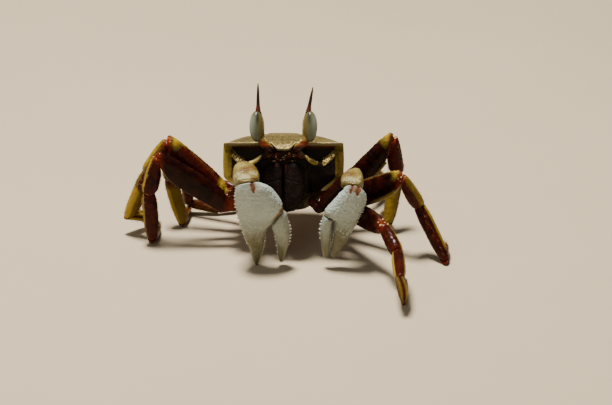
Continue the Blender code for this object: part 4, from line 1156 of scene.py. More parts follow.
class CRAB_OT_walls(bpy.types.Operator):
    """Makes the face with its orbits, the flanks and the rear wall of the carapace"""

    bl_idname = "crab.walls"
    bl_label = "Face and flanks"

    def execute(self, context):
        detail = sizes()
        even = np.linspace(0, 1, WALL_ROWS)
        depths = 0.55 * even + 0.45 * even ** 1.8
        grid = np.array([carapace_ring(depth) for depth in depths])
        upper = smooth(0.03, 0.0, depths)[:, None]
        grid[..., 2] -= 0.12 * upper
        form = WallForm(grid, detail)
        skin = raised(grid, self.height(grid, form, detail))
        marks = self.marks(grid, form, upper, detail.seed)
        closed_skin("walls", on_body(skin), marks, face_finish, "carapace")
        return {"FINISHED"}

    def height(self, grid, form, detail):
        """Granules on flanks and cheeks, a beaded ridge along the orbit's edge, and its patches."""
        ridge = (bell(form.above, form.edge + 0.15, 0.42) * smooth(6.2, 7.4, form.across)
                 * smooth(21.6, 20.6, form.across) * form.front)
        height = detail.relief * 0.8 * form.domes * (form.flanks * 0.9 + form.cheeks * 0.7)
        height += ridge * (0.15 + 0.3 * form.beads) + form.outer_patch * (0.1 + 0.35 * form.beads)
        height += 0.25 * form.inner_patch + 0.05 * wobble(grid, 3.0, detail.seed)
        return height

    def marks(self, grid, form, upper, seed):
        """Yellow flanks and patches, pale low down, dark red crumbs over the mouth, and painted glints
        on the outer patches and over the mouth.
        """
        across, above, front, leaf = form.across, form.above, form.front, form.inner_patch
        over_edge = above - form.edge
        crumbs = smooth(0.0, 0.5, wobble(grid, 0.9, seed + 6))
        glint_specks = smooth(0.5, 0.9, crumbs)
        olive = 0.95 * form.flanks * smooth(0.5, 4.5, form.behind)
        olive = olive + form.outer_patch * (0.5 + 0.6 * form.beads)
        olive += 1.2 * leaf * smooth(-1.1, -0.2, over_edge) + 0.9 * upper * form.flanks
        # Painted glints: pale beads on the outer patches, and pale specks over the mouth.
        light = 0.6 * form.flanks * smooth(-10, -17, above) + 1.1 * form.outer_patch * form.beads
        light += 0.75 * leaf * smooth(-0.5, 0.4, over_edge)
        light += 0.9 * bell(across, 3.4, 2.0) * bell(above, -6.4, 1.0) * front * glint_specks
        mouth_rim = bell(above, -6.1, 0.45) * smooth(8.6, 7.0, across) * front
        inner = bell(above, form.edge + 1.0 - 0.5 * smooth(14, 20, across), 0.8) * front
        under_ridge = bell(above, -1.5, 1.1) * front * smooth(4.5, 7.0, across)
        red = 0.2 * mouth_rim + 0.85 * under_ridge + 0.2 * inner * crumbs + 0.3 * leaf
        red += 0.8 * bell(across, 2.2, 2.4) * bell(above, -6.6, 1.4) * front * crumbs
        red += 0.6 * upper * front
        return marked(grid.shape[:2], olive=olive, red=red, light=light,
                      relief=np.maximum(form.domes, 1 - form.flanks - form.cheeks))


class CRAB_OT_underside(bpy.types.Operator):
    """Makes the breastplate, the coxae and the folded tail plate"""

    bl_idname = "crab.underside"
    bl_label = "Underside"

    def execute(self, context):
        self.breastplate()
        for side in SIDES:
            for number in COXA:
                self.coxa(side, number)
        self.tail()
        return {"FINISHED"}

    def breastplate(self):
        """Rounded oblong rings from the foot of the walls down, with a groove between segments."""
        detail = sizes()
        rows, around = GRIDS["breastplate"]
        depth = np.linspace(0, 1, rows)[:, None]
        turn = np.arange(around)[None] * 2 * math.pi / around
        across, lengthways = np.cos(turn), np.sin(turn)
        across = np.sign(across) * np.abs(across) ** THORAX_SQUARENESS
        lengthways = np.sign(lengthways) * np.abs(lengthways) ** THORAX_SQUARENESS
        narrowing, front_moves, rear_moves = THORAX_TAPER
        half_width = THORAX_HALF_WIDTH - narrowing * depth ** 2
        front = THORAX_ENDS[0] + front_moves * depth
        rear = THORAX_ENDS[1] - rear_moves * depth
        behind = (front + rear) / 2 + (rear - front) / 2 * lengthways
        narrow = 1 - 0.22 * smooth(20, 33, behind)
        top = WALL_FOOT + WALL_FOOT_RISE * behind - GAP
        bottom = -BODY_DEPTH + THORAX_BOTTOM_RISE * behind
        grid = np.stack([half_width * across * narrow, behind, top + depth * (bottom - top)], axis=-1)
        seams = np.cos((behind - 0.25 * np.abs(grid[..., 0])) * 2 * math.pi / 6.4)
        groove = smooth(0.86, 1.0, seams)
        domes = pebbles(grid, detail.leg_granule, detail.seed)
        skin = raised(grid, detail.relief * 0.4 * domes - 0.3 * groove)
        # The front of the breastplate is painted near black as painted shadow; the dark grooves are its
        # joints.
        marks = marked(grid.shape[:2], red=np.maximum(0.45 * groove, smooth(16, 9, behind)),
                       light=0.2, relief=domes)
        closed_skin("breastplate", on_body(skin), marks, under_finish, "thorax")

    def coxa(self, side, number):
        """A stub from inside the breastplate out to the joint of a limb."""
        joint = on_body(mirrored(COXA[number], side))
        if number == 1:
            towards = in_world(CLAW[side]["base"]) - joint
        else:
            towards = on_body(mirrored(MERUS_BASE[number], side)) - joint
        outward = coxa_outward(side, number)
        plane = mitre(outward, towards)
        end = clear_of(joint, -outward, -plane)
        radius = COXA_RADIUS * (0.85 if number == 5 else 1.0)
        stations = [(*(end - outward * COXA_STUB * back), *outward, -r * radius, r * radius, r * radius)
                    for back, r in COXA_SHAPE]
        limb = Limb("coxa", stations, UP, end_plane=plane)
        folds = 0.12 * wobble(limb.points, 1.6, sizes().seed)
        # Darker outward; the first two coxae, under the front, go near black as painted shadow.
        red = (0.9 if number < 3 else 0.45) * smooth(0.0, 0.6, limb.share)
        limb.skin(f"coxa_{number}_{side}", folds, under_finish, "underside", "thorax", red=red)

    def tail(self):
        """The tail plate: sections along its folded path, with a groove between segments."""
        behind, above, wide, thick = np.array(ABDOMEN).T
        path = np.stack([np.zeros(len(ABDOMEN)), behind, above], axis=1)
        stations = rounded(path, np.gradient(path, axis=0), thick, wide)
        limb = Limb("tail", stations, np.array([0.0, 1.0, -1.0]), power=3.0)
        groove = sum(bell(limb.place, seam, 0.35) for seam in TAIL_SEAMS)
        domes = pebbles(limb.points, 0.8, sizes().seed)
        height = 0.04 * domes - 0.2 * groove
        limb.skin("tail_plate", height, under_finish, "underside", "abdomen", on_body,
                  red=0.4 * groove, light=0.25, relief=domes)


class CRAB_OT_mouth(bpy.types.Operator):
    """Makes the outer mouth legs, the feelers and the small knobs over the mouth"""

    bl_idname = "crab.mouth"
    bl_label = "Mouth"

    def execute(self, context):
        for side in SIDES:
            self.mouth_leg(side)
        for side in SIDES:
            for name in FEELERS:
                self.feeler(name, side)
        self.crumbs()
        return {"FINISHED"}

    def mouth_leg(self, side):
        """A flat plate of rounded sections, with a seam across it and a groove down its length."""
        seed = sizes().seed
        table = np.array(MAXILLIPED)[::-1]
        rows, around = GRIDS["mouth leg"]
        even = np.linspace(0, 1, rows)
        height = table[0, 0] + (table[-1, 0] - table[0, 0]) * even
        middle, wide, front = through(table, height).T
        close = 0.35 * (1 - np.sqrt(1 - np.clip(1 - np.minimum(even, 1 - even) * 50, 0, 1) ** 2))
        across, tall = section(around, 3.2)
        depth = (MAXILLIPED_BACK - front) / 2 - close
        behind = ((MAXILLIPED_BACK + front) / 2)[:, None] + tall * depth[:, None]
        middle, height = middle[:, None], height[:, None]
        x = middle + across * (wide - close)[:, None]
        grid = np.stack([x * SIDES[side], behind, np.broadcast_to(height, x.shape)], axis=-1)
        from_middle = x - middle
        suture = bell(height, -14.5 - 0.25 * from_middle, 0.28)
        groove = bell(from_middle, 0.9, 0.35) * smooth(-15.5, -16.5, height)
        domes = pebbles(grid, 0.7, seed)
        dents = 0.12 * wobble(grid, 1.8, seed + 4)
        skin = raised(grid, 0.07 * domes + dents - 0.16 * suture - 0.2 * groove)
        inner_edge = smooth(-0.5, -1.0, from_middle / wide[:, None])
        streaks = smooth(0.1, 0.6, wobble(grid * np.array([1.0, 1.0, 0.25]), 0.9, seed + 8))
        upper = smooth(-13.0, -8.5, height) * smooth(1.0, -1.0, from_middle)
        marks = marked(x.shape, red=0.06 * inner_edge + 0.8 * upper * streaks, relief=domes)
        closed_skin(f"mouth_leg_{side}", on_body(skin), marks, face_finish,
                    f"maxilliped_{side}")

    def feeler(self, name, side):
        """A bent tube with rings: an antennule folded under the front lobe, or a short antenna."""
        seed = sizes().seed
        places, radii = FEELERS[name]
        path = np.array([mirrored(place, side) for place in places])
        radius = np.array(radii)
        stations = rounded(path, np.gradient(path, axis=0), radius, radius)
        limb = Limb("feeler", stations, np.array([0.1, 0.2, 1.0]), power=2.0, lip=0.3)
        rings = 0.06 * np.sin(limb.place * 2 * math.pi / 0.7)
        height = rings + 0.05 * wobble(limb.points, 0.6, seed)
        glint = smooth(0.35, 0.7, wobble(limb.points, 0.5, seed + 9))
        limb.skin(f"{name}_{side}", height, leg_finish, "mouth", None, on_body, red=0.62, light=glint)

    def crumbs(self):
        """Small red knobs scattered over the strip between the front lobe and the mouth, some pale as
        painted glints.
        """
        rng = np.random.default_rng(sizes().seed + 60)
        across = np.clip(rng.normal(0.8, 3.2, CRUMBS), -5.4, 7.6)
        above = rng.uniform(-7.0, -4.0, CRUMBS)
        places = np.stack([across, face(across, above) - 0.1, above], axis=-1)
        wide = rng.uniform(0.22, 0.5, CRUMBS)
        way = rng.normal(0, 0.5, (CRUMBS, 3)) + [0, -1, 0.3]
        axes = axes_of(way, UP, wide, wide * 0.7, wide * 0.7)
        # The pale share of some knobs is a painted glint.
        marks = marked((CRUMBS,), red=rng.uniform(0.3, 1.0, CRUMBS), light=rng.random(CRUMBS) ** 3,
                       relief=0.5)
        scattered("mouth_crumbs", *KNOB, on_body(places), axes, marks, leg_finish, "mouth")


class CRAB_OT_eyes(bpy.types.Operator):
    """Makes the eyestalks, the eyes and the horns"""

    bl_idname = "crab.eyes"
    bl_label = "Eyes and horns"

    def execute(self, context):
        for side in SIDES:
            self.stalk(side)
            self.cornea(side)
            self.horn(side)
        return {"FINISHED"}

    def stalk(self, side):
        """A tube along the stalk's path, with a fold where it leaves the orbit."""
        seed = sizes().seed
        path = np.array([mirrored(point, side) for point in STALK_PATH])
        radius = np.array(STALK_RADII)
        tangent = np.gradient(path, axis=0)
        tangent[0] = (0, -1, 0)
        stations = rounded(path, tangent, radius, radius)
        limb = Limb("stalk", stations, np.array([0.0, 1.0, 0.35]), power=2.0, lip=0.9)
        above = limb.points[..., 2]
        folds = -0.16 * bell(above, 0.3, 0.35) - 0.12 * bell(above, -1.2, 0.3)
        skin = raised(limb.points, folds + 0.05 * wobble(limb.points, 0.8, seed))

        # Olive and cream on the tube's upper side and beside the eye, dark where it leaves the orbit.
        medial = smooth(0.2, -1.0, (skin[..., 0] * SIDES[side]) - 7.6)
        topside = smooth(0.1, 0.8, limb.turn_towards(np.array([-0.45 * SIDES[side], 0.0, 1.0])))
        olive = np.maximum(smooth(0.6, 2.2, above), 0.8 * topside * smooth(-2.2, -0.8, above))
        spots = smooth(0.1, 0.6, wobble(limb.points, 0.8, seed + 3)) * topside * smooth(3.0, 1.5, above)
        light = 0.35 * olive * medial * smooth(9, 3, above) + 0.9 * spots * smooth(-2.5, -1.2, above)
        dark = np.maximum(smooth(11.3, 12.1, above), smooth(-0.3, -1.7, above))
        marks = marked(limb.shape, olive=olive, red=dark, light=light)
        closed_skin(f"stalk_{side}", on_body(skin), marks, stalk_finish, f"eyestalk_{side}")

    def cornea(self, side):
        """A long upright ellipsoid: cosines of latitude and turn, times its three radii."""
        rows, around = GRIDS["cornea"]
        latitude = np.linspace(-0.495, 0.495, rows)[:, None] * math.pi
        turn = np.arange(around)[None] * 2 * math.pi / around
        shape = np.stack([np.cos(latitude) * np.cos(turn), np.cos(latitude) * np.sin(turn),
                          np.sin(latitude) * np.ones_like(turn)], axis=-1)
        outward, forward, high = shape[..., 0] * SIDES[side], -shape[..., 1], shape[..., 2]
        spot = bell(outward, -0.14, 0.26) * smooth(0.1, 0.5, forward)
        pupil = spot * smooth(-0.15, 0.55, high) * smooth(1.0, 0.84, high) * 0.85
        rim = 0.6 * smooth(-0.72, -0.98, high) + 0.8 * smooth(0.9, 0.99, high)
        blue = smooth(0.0, 0.85, outward) * smooth(0.95, 0.5, high) * smooth(-0.95, -0.4, high)
        olive = smooth(-0.15, -0.75, outward) * 0.85
        grid = mirrored(CORNEA_CENTRE, side) + shape * np.array(CORNEA_RADII)
        marks = marked(grid.shape[:2], olive=olive, red=np.maximum(pupil, rim), light=0.85 * blue)
        closed_skin(f"cornea_{side}", on_body(grid), marks, cornea_finish, f"eye_{side}")

    def horn(self, side):
        """A tapered spire along the line from the horn's foot to its tip."""
        base, tip = mirrored(HORN_BASE, side), mirrored(HORN_TIP[side], side)
        base = base - HORN_SINK * unit(tip - base)
        share, radius = np.array(HORN_SHAPE).T
        centres = base + share[:, None] * (tip - base)
        stations = rounded(centres, np.tile(tip - base, (len(share), 1)), radius, radius)
        limb = Limb("horn", stations, np.array([0.0, 1.0, 0.0]), power=2.0, lip=0.14)
        dents = 0.03 * wobble(limb.points, 0.9, sizes().seed)
        limb.skin(f"horn_shell_{side}", dents, horn_finish, "horn", f"horn_{side}", on_body,
                  red=smooth(0.34, 0.08, limb.share))


class ClawPose:
    """Joints of one claw leg, the directions of its pieces, and the planes in which they meet."""

    def __init__(self, side):
        held = CLAW[side]
        self.side, self.held, self.size, self.upper_side = side, held, held["size"], held["upper_side"]
        places = [in_world(held[key]) for key in ("base", "elbow", "wrist", "tip")]
        self.base, self.elbow, self.wrist, tip = places
        self.coxa = on_body(mirrored(COXA[1], side))
        self.along, self.fore = unit(self.elbow - self.base), unit(self.wrist - self.elbow)
        self.down = unit(tip - self.wrist)
        self.planes = (mitre(coxa_outward(side, 1), self.base - self.coxa),
                       mitre(self.along, self.fore), mitre(self.fore, self.down))
        self.upper = unit(UP_SIDE * self.upper_side - self.down * self.down[0] * self.upper_side)
        downward, upward = held["finger_plane"]
        self.finger_plane = unit(self.down * downward + self.upper * upward)

    def place(self, distance, level):
        """Places at distances from the wrist towards the tips, and at levels towards the upper side."""
        return self.wrist + np.outer(distance, self.down) + np.outer(level, self.upper)

    def hinge(self):
        """Place where the movable finger meets the palm."""
        distance, lower, upper, _ = self.held["finger"][0]
        return self.place(distance, (lower + upper) / 2)[0]

    def blade(self, piece, start_plane, reach):
        """Grid of the palm or the finger, lofted along the wrist's line out to the tip."""
        table = np.array(self.held[piece])
        middle = (table[-1, 1] + table[-1, 2]) / 2
        to_tip = (self.wrist + self.upper * middle)[2] / -self.down[2]
        end_plane = -UP
        if to_tip > table[-1, 0] + TIP_LENGTH:
            to_tip, end_plane = table[-1, 0] + TIP_LENGTH, self.down
        table = np.vstack([table, (to_tip, middle - TIP_RADIUS, middle + TIP_RADIUS, TIP_RADIUS)])
        middles, half = (table[:, 1] + table[:, 2]) / 2, (table[:, 2] - table[:, 1]) / 2
        centres = self.place(table[:, 0], middles)
        if piece == "palm":
            first = self.upper * middles[0]
            shift = np.dot(first, start_plane) / np.dot(self.down, start_plane)
            centres[0] = clear_of(self.wrist, self.down, start_plane) + first - self.down * shift
        stations = rounded(centres, np.tile(self.down, (len(table), 1)), half, table[:, 3])
        return Limb(piece, stations, self.upper, start_plane, end_plane, reach=reach, lip=0.4)


class CRAB_OT_claws(bpy.types.Operator):
    """Makes both claw legs with their pebbled palms, toothed fingers and joint skin"""

    bl_idname = "crab.claws"
    bl_label = "Claws"

    def execute(self, context):
        detail = sizes()
        for side in SIDES:
            pose = ClawPose(side)
            for make in (self.arm, self.wrist, self.palm, self.finger, self.teeth):
                make(pose, detail)
            self.joint_skin(pose)
        return {"FINISHED"}

    def arm(self, pose, detail):
        """The arm from its coxa to the elbow, with a saw along its upper edge."""
        tables = []
        for shape in (CLAW_ARM_ROOT, CLAW_ARM):
            share, half = np.array(shape).T
            half = half * pose.size
            tables.append(np.column_stack([share, -half, half, half * CLAW_ARM_FLATNESS]))
        stations = rooted(pose.coxa, pose.base, pose.elbow, *pose.planes[:2], *tables)
        limb = Limb("arm", stations, np.array([0.0, -1.0, 0.2]), *pose.planes[:2], reach=0.25)
        domes = pebbles(limb.points, detail.leg_granule, detail.seed)
        edge = limb.upper_edge(0.14)
        height = detail.relief * 0.7 * domes + 0.3 * edge * saw(limb.place, 1.3)
        limb.skin(f"claw_arm_{pose.side}", height, leg_finish, "leg", f"claw_{pose.side}_merus",
                  olive=0.15 * edge, red=0.08 + 0.3 * smooth(0.3, 0, limb.share))

    def wrist(self, pose, detail):
        """The pebbled wrist, with a brown streak over it and a pale part towards the palm."""
        stations = straight(pose.elbow, pose.wrist, CLAW_WRIST, pose.size, *pose.planes[1:])
        limb = Limb("wrist", stations, UP, *pose.planes[1:], CLAW_WRIST_POWER, 0.4, 0.7)
        domes = pebbles(limb.points, detail.claw_pebble * 0.6, detail.seed)
        rim = smooth(0.93, 0.98, limb.share)
        line = bell(limb.share, 0.93, 0.035)
        height = detail.relief * 1.4 * domes * (1 - rim) - 0.3 * line + 0.1 * rim
        inward = -limb.across * pose.upper_side
        streak = bell(limb.share, 0.5 - 0.2 * inward, 0.16) * smooth(0.1, 0.5, limb.tall)
        streak *= smooth(-0.7, 0.1, inward)
        blotches = smooth(0.1, 0.6, wobble(limb.points, 2.4, detail.seed + 2))
        pale = smooth(0.42, 0.7, limb.share) * (1 - 0.5 * blotches) * (1 - rim)
        limb.skin(f"claw_wrist_{pose.side}", height, wrist_finish, "wrist",
                  f"claw_{pose.side}_carpus", olive=1.2 * streak + 0.5 * blotches + 0.5 * line,
                  red=0.75 * line, light=0.5 * pale * (1 - streak), relief=domes)

    def palm(self, pose, detail):
        """The palm with its fixed finger, notched at the wrist and stained along the finger's joint."""
        limb = pose.blade("palm", pose.planes[2], 0.12)
        below = np.dot(limb.points - pose.wrist, pose.down)
        beside = np.dot(limb.points - pose.wrist, pose.upper)
        # Warmer and darker towards the fingers: partly their own tone, partly painted shade.
        warm_and_shade = smooth(7 * pose.size, 27 * pose.size, below)
        domes = pebbles(limb.points, detail.claw_pebble, detail.seed)
        fade = smooth(-1.0, 1.0, below) * (1 - 0.65 * smooth(18, 24, below))
        ragged = 0.5 * wobble(limb.points, 1.2, detail.seed + 1)
        deep = 0.7 - 0.2 * np.clip(below, 0, 2.2)
        notch = sum(bell(beside + ragged, place, deep) for place in NOTCHES[pose.side])
        notch = notch * smooth(2.2, 1.2, below + ragged)
        brown = sum(bell(beside, place, 1.7) for place in NOTCHES[pose.side])
        brown = brown * smooth(1.3, 0.3, below)
        past_joint = (limb.points - pose.hinge()) @ pose.finger_plane
        joint_line = bell(past_joint, -1.1, 1.2) * smooth(4.0, 7.0, beside / pose.size)
        height = detail.relief * 1.8 * domes * fade * (1 - notch) - 0.35 * notch
        height += 0.12 * wobble(limb.points, 4, detail.seed)
        stained = smooth(0.0, 0.3, np.maximum(notch, joint_line))
        tips = 0.35 * smooth(0.96, 1.0, limb.share)
        limb.skin(f"claw_hand_{pose.side}", height, claw_finish, "claw", f"claw_{pose.side}_palm",
                  olive=0.95 * warm_and_shade, red=np.maximum(notch, 0.4 * brown) + 0.55 * joint_line + tips,
                  # Painted highlight along the palm's upper side.
                  light=0.3 * smooth(0.75, 0.95, limb.tall) * (1 - warm_and_shade),
                  relief=np.maximum(1 - fade * (1 - domes), 0.52 * stained))

    def finger(self, pose, detail):
        """The movable finger, pebbled near the palm and ribbed along its length."""
        limb = pose.blade("finger", pose.finger_plane, 0.4)
        domes = pebbles(limb.points, detail.claw_pebble * 0.8, detail.seed)
        ribs = 0.08 * np.cos(limb.turn * 5)
        height = detail.relief * 0.5 * domes * smooth(0.6, 0.1, limb.share) + ribs
        limb.skin(f"claw_thumb_{pose.side}", height, claw_finish, "claw", f"claw_{pose.side}_finger",
                  # The finger's warm olive is partly its own tone, partly painted shade.
                  olive=0.6 + 0.4 * smooth(0.3, 0.9, limb.share), light=0.2,
                  red=0.45 * smooth(0.1, 0.0, limb.share) + 0.6 * smooth(0.93, 1, limb.share),
                  relief=np.maximum(domes, smooth(0.2, 0.5, limb.share)))

    def teeth(self, pose, detail):
        """Beads along the lower margin and pegs on the cutting edges, largest in mid finger."""
        rng = np.random.default_rng(detail.seed + 20)
        palm, finger = np.array(pose.held["palm"]), np.array(pose.held["finger"])
        gape = palm[palm[:, 0] > 16, 0][0]
        rows = ((palm, 1, -1, 1.0, palm[-1, 0] * 0.75, 1.25, 0.58, 0.85),
                (palm, 2, 1, gape, palm[-1, 0], 1.4, 0.5, 0.65),
                (finger, 1, -1, finger[1, 0] + 1.0, finger[-1, 0], 1.4, 0.5, 0.65),
                (finger, 2, 1, finger[0, 0] + 1.0, finger[-1, 0] * 0.82, 1.4, 0.55, 0.95))
        places, outward, wide, tall = [], [], [], []
        for table, edge, sign, start, end, spacing, radius, height in rows:
            distance = np.arange(start, end, spacing * pose.size)
            distance = distance + rng.uniform(-0.15, 0.15, len(distance))
            level = through(table[:, [0, edge]], distance)[:, 0] - sign * 0.12
            share = (distance - start) / (end - start)
            grow = rng.uniform(0.75, 1.15, len(distance)) * (0.65 + 0.45 * np.sin(math.pi * share))
            places.append(pose.place(distance, level))
            outward.append(np.tile(sign * pose.upper + 0.15 * pose.down, (len(distance), 1)))
            wide.append(radius * pose.size * grow)
            tall.append(height * pose.size * grow)
        wide, tall = np.concatenate(wide), np.concatenate(tall)
        axes = axes_of(np.vstack(outward), pose.down, wide * 0.9, wide, tall)
        marks = marked((len(wide),), olive=0.2, light=0.6)
        scattered(f"claw_teeth_{pose.side}", *TOOTH, np.vstack(places), axes, marks, claw_finish,
                  "claw")

    def joint_skin(self, pose):
        """Soft skin inside the elbow and the wrist: folded barrels bent through the joints."""
        joints = (("elbow", pose.elbow, pose.along, pose.fore, 2.3, leg_finish),
                  ("wrist", pose.wrist, pose.fore, pose.down, 3.0, skin_finish))
        for name, joint, before, after, radius, finish in joints:
            radius = radius * pose.size * 0.86
            stations = barrel(joint, before, after, 1.6, radius, radius)
            limb = Limb("claw joint", stations, np.array([0.3, 0.2, 1.0]))
            folds = 0.12 * np.sin(limb.place * 2 * math.pi / 0.6)
            limb.skin(f"claw_{name}_skin_{pose.side}", folds, finish, "stalk", red=0.2)


class LegForm:
    """Shares around and along one leg piece that its relief and its paint both follow."""

    def __init__(self, name, limb):
        self.upper = smooth(-0.3, 0.7, limb.tall)
        self.crest = limb.upper_edge(0.13)
        self.mid = smooth(0.0, 0.1, limb.share) * smooth(1.0, 0.93, limb.share)
        self.saw = saw(limb.place, 1.25)
        self.ridge = 0.5 + 0.5 * np.cos(limb.turn * (6 if name == "dactylus" else 4))


class CRAB_OT_walking_legs(bpy.types.Operator):
    """Makes the eight walking legs with their granules, ridges, joint skin and condyles"""

    bl_idname = "crab.walking_legs"
    bl_label = "Walking legs"

    def execute(self, context):
        for side in SIDES:
            for number in LEG_LENGTHS:
                limbs = leg_limbs(side, number)
                for name, limb, paint in zip(LEG_PIECES, limbs, LEG_PAINT[side, number]):
                    self.piece(name, side, number, limb, paint)
                self.joints(side, number, limbs)
        return {"FINISHED"}

    def piece(self, name, side, number, limb, paint):
        """One hard piece: its limb grid with granules that are longer than wide, and its paint."""
        detail = sizes()
        form = LegForm(name, limb)
        lengthways = np.einsum("rsk,rk->rs", limb.points, limb.along)
        squeezed = limb.points - 0.45 * lengthways[..., None] * limb.along[:, None]
        domes = pebbles(squeezed, detail.leg_granule, detail.seed + number)
        height = self.height(name, limb, form, domes, detail.relief)
        olive, red, light = self.paint(name, limb, form, paint, detail.seed)
        slot = "leg" if name in ("merus", "propodus") else "leg_pale"
        limb.skin(f"{name}_{number}_{side}", height, leg_finish, slot, f"leg_{number}_{side}_{name}",
                  olive=olive, red=red, light=light, relief=domes)

    def height(self, name, limb, form, domes, relief):
        """Granules, with a saw on both edges of the merus and ridges along the other pieces."""
        if name == "merus":
            keel = bell(limb.turn, math.pi, 0.15)
            edges = form.crest * (0.25 * form.saw + 0.1) * form.mid + 0.12 * keel * form.saw * form.mid
            return relief * domes * (0.45 + 0.55 * form.upper) + edges
        if name == "dactylus":
            return 0.16 * (form.ridge - 0.5) * smooth(1.0, 0.75, limb.share) + relief * 0.2 * domes
        height = relief * 1.1 * domes + 0.2 * (form.ridge - 0.5) * form.mid
        return height + 0.12 * form.crest * form.mid

    def paint(self, name, limb, form, paint, seed):
        """Olive, red and light of a piece, by its own paint and by how near its joints are."""
        turn = np.minimum(limb.turn, 2 * math.pi - limb.turn) if paint.both else limb.turn
        towards = np.cos(turn - math.radians(paint.turn))
        olive = paint.olive + paint.edge * smooth(1 - 1.6 * paint.width, 1 - 0.6 * paint.width, towards)
        far_part = smooth(paint.start, paint.start + 0.12, limb.share)
        olive = olive + paint.far * far_part * (0.2 + 0.8 * form.upper ** 2)
        near, far = smooth(0.14, 0.03, limb.share), smooth(0.91, 0.97, limb.share)
        # Painted highlights: pale glints on the upper side at the knee ends of merus and carpus.
        painted_glints = smooth(0.3, 0.7, wobble(limb.points, 0.55, seed + 12))
        red, light = paint.red, 0.0
        if name == "merus":
            root = smooth(0.42, 0.34, limb.share) * smooth(0.16, 0.24, limb.share)
            low = smooth(-0.5, -0.85, limb.tall) * smooth(0.35, 0.75, limb.share)
            olive = np.maximum(olive * (1 - root), 0.62 * paint.far * low)
            olive = olive * (1 - far) + paint.root * root
            red = red + 0.5 * far + 0.8 * smooth(0.28, 0.14, limb.share)
            teeth = 0.6 * form.crest * form.mid * form.saw
            light = teeth * (paint.edge > 0.25) + 0.9 * far * painted_glints * form.upper
        elif name == "carpus":
            olive = olive * (1 - 0.8 * near)
            red = red + 0.5 * near + 0.12 * far
            light = 0.8 * near * painted_glints * form.upper
        elif name == "propodus":
            red = red + 0.12 * near + 0.15 * far
        else:
            olive = olive * (0.2 + 1.15 * form.ridge) * smooth(1.0, 0.85, limb.share)
            red = red + 0.4 * smooth(0.8, 0.95, limb.share)
        return olive, red, light

    def joints(self, side, number, limbs):
        """Skin inside each joint of a leg, an orange red condyle on either side of it with a small pale
        one above that is partly a painted highlight, and a pale condyle over the base of the leg."""
        joints = leg_joints(side, number)
        size = LEG_STOUTNESS[number]
        crown = limbs[0].up[-1]
        over_base = joints[1] + crown * BASE_CONDYLE_LIFT * MERUS_STOUTNESS[number]
        places, sideways = [over_base], [unit(crown - [0, 1, 0])]
        wide, pale = [BASE_CONDYLE * size], [1]
        for place, condyle in zip((2, 3, 4), CONDYLES):
            before = unit(joints[place] - joints[place - 1])
            after = unit(joints[place + 1] - joints[place])
            piece = limbs[place - 1]
            half = np.ptp(piece.points[3] @ piece.up[3]) * 0.44
            thick = np.ptp(piece.points[3] @ piece.side[3]) * 0.45
            stations = barrel(joints[place], before, after, 1.5, half, thick)
            limb = Limb("leg joint", stations, piece.up[0])
            folds = 0.1 * np.sin(limb.place * 2 * math.pi / 0.55)
            limb.skin(f"joint_skin_{number}_{side}_{place - 1}", folds, skin_finish, "stalk")
            radius = condyle * size
            above = piece.up[0] * radius * 0.9 - before * radius * 0.5
            for sign in (-1, 1):
                way = sign * piece.side[0]
                places += [joints[place] + way * thick, joints[place] + way * thick * 1.03 + above]
                sideways += [way, way]
                wide += [radius, 0.42 * radius]
                # The small pale knob is partly a pale condyle and partly a painted highlight on the
                # joint.
                pale += [0, 1]
        wide = np.array(wide)
        axes = axes_of(np.array(sideways), UP, wide, wide, wide * 0.5)
        marks = marked((len(wide),), red=0.62, light=np.array(pale), relief=0.5)
        scattered(f"condyles_{number}_{side}", *KNOB, np.array(places), axes, marks, leg_finish,
                  "wrist")


class CRAB_OT_hairs(bpy.types.Operator):
    """Makes the hairs along the lower pieces of the walking legs"""

    bl_idname = "crab.hairs"
    bl_label = "Hairs"

    def execute(self, context):
        rng = np.random.default_rng(sizes().seed + 40)
        for side in SIDES:
            for number in LEG_LENGTHS:
                limbs = leg_limbs(side, number)
                parts = [self.fringe(limbs[part], rng, count, lean, part)
                         for part, count, lean in FRINGES]
                self.hairs(f"hairs_{number}_{side}", parts, rng)
        return {"FINISHED"}

    def fringe(self, limb, rng, count, lean, part):
        """Roots, directions and bake places of hairs in rows along the edges of a limb.

        The bake places unroll the limb: its length up a third of the map, its turn across it.
        """
        rows, sides = limb.shape
        row = rng.integers(int(rows * 0.12), int(rows * 0.9), count)
        edge = rng.choice([0, sides // 2, sides // 8, -sides // 8], count, p=[0.35, 0.35, 0.15, 0.15])
        column = (edge + rng.integers(-2, 3, count)) % sides
        normal = grid_normals(limb.points)[row, column]
        roots = limb.points[row, column] - normal * 0.1
        way = unit(normal + lean * limb.along[row] + rng.normal(0, 0.15, (count, 3)))
        bake = np.column_stack([column / sides * 0.95, (part - 1 + row / rows) / 3])
        return roots, way, bake

    def hairs(self, name, parts, rng):
        """The hairs of one leg as one piece of thin three-sided cones, none of which crosses the
        floor."""
        roots, way, bake = (np.vstack([part[i] for part in parts]) for i in range(3))
        length = sizes().hair * rng.uniform(0.5, 1.1, len(roots))
        to_floor = np.maximum(roots[:, 2] - 0.3, 0.2) / np.maximum(-way[:, 2], 0.05)
        axes = axes_of(way, UP + 0.01, HAIR_RADIUS, HAIR_RADIUS, np.minimum(length, to_floor))
        scattered(name, *HAIR, roots, axes, marked((len(roots),)), hair_finish, "leg", bake)


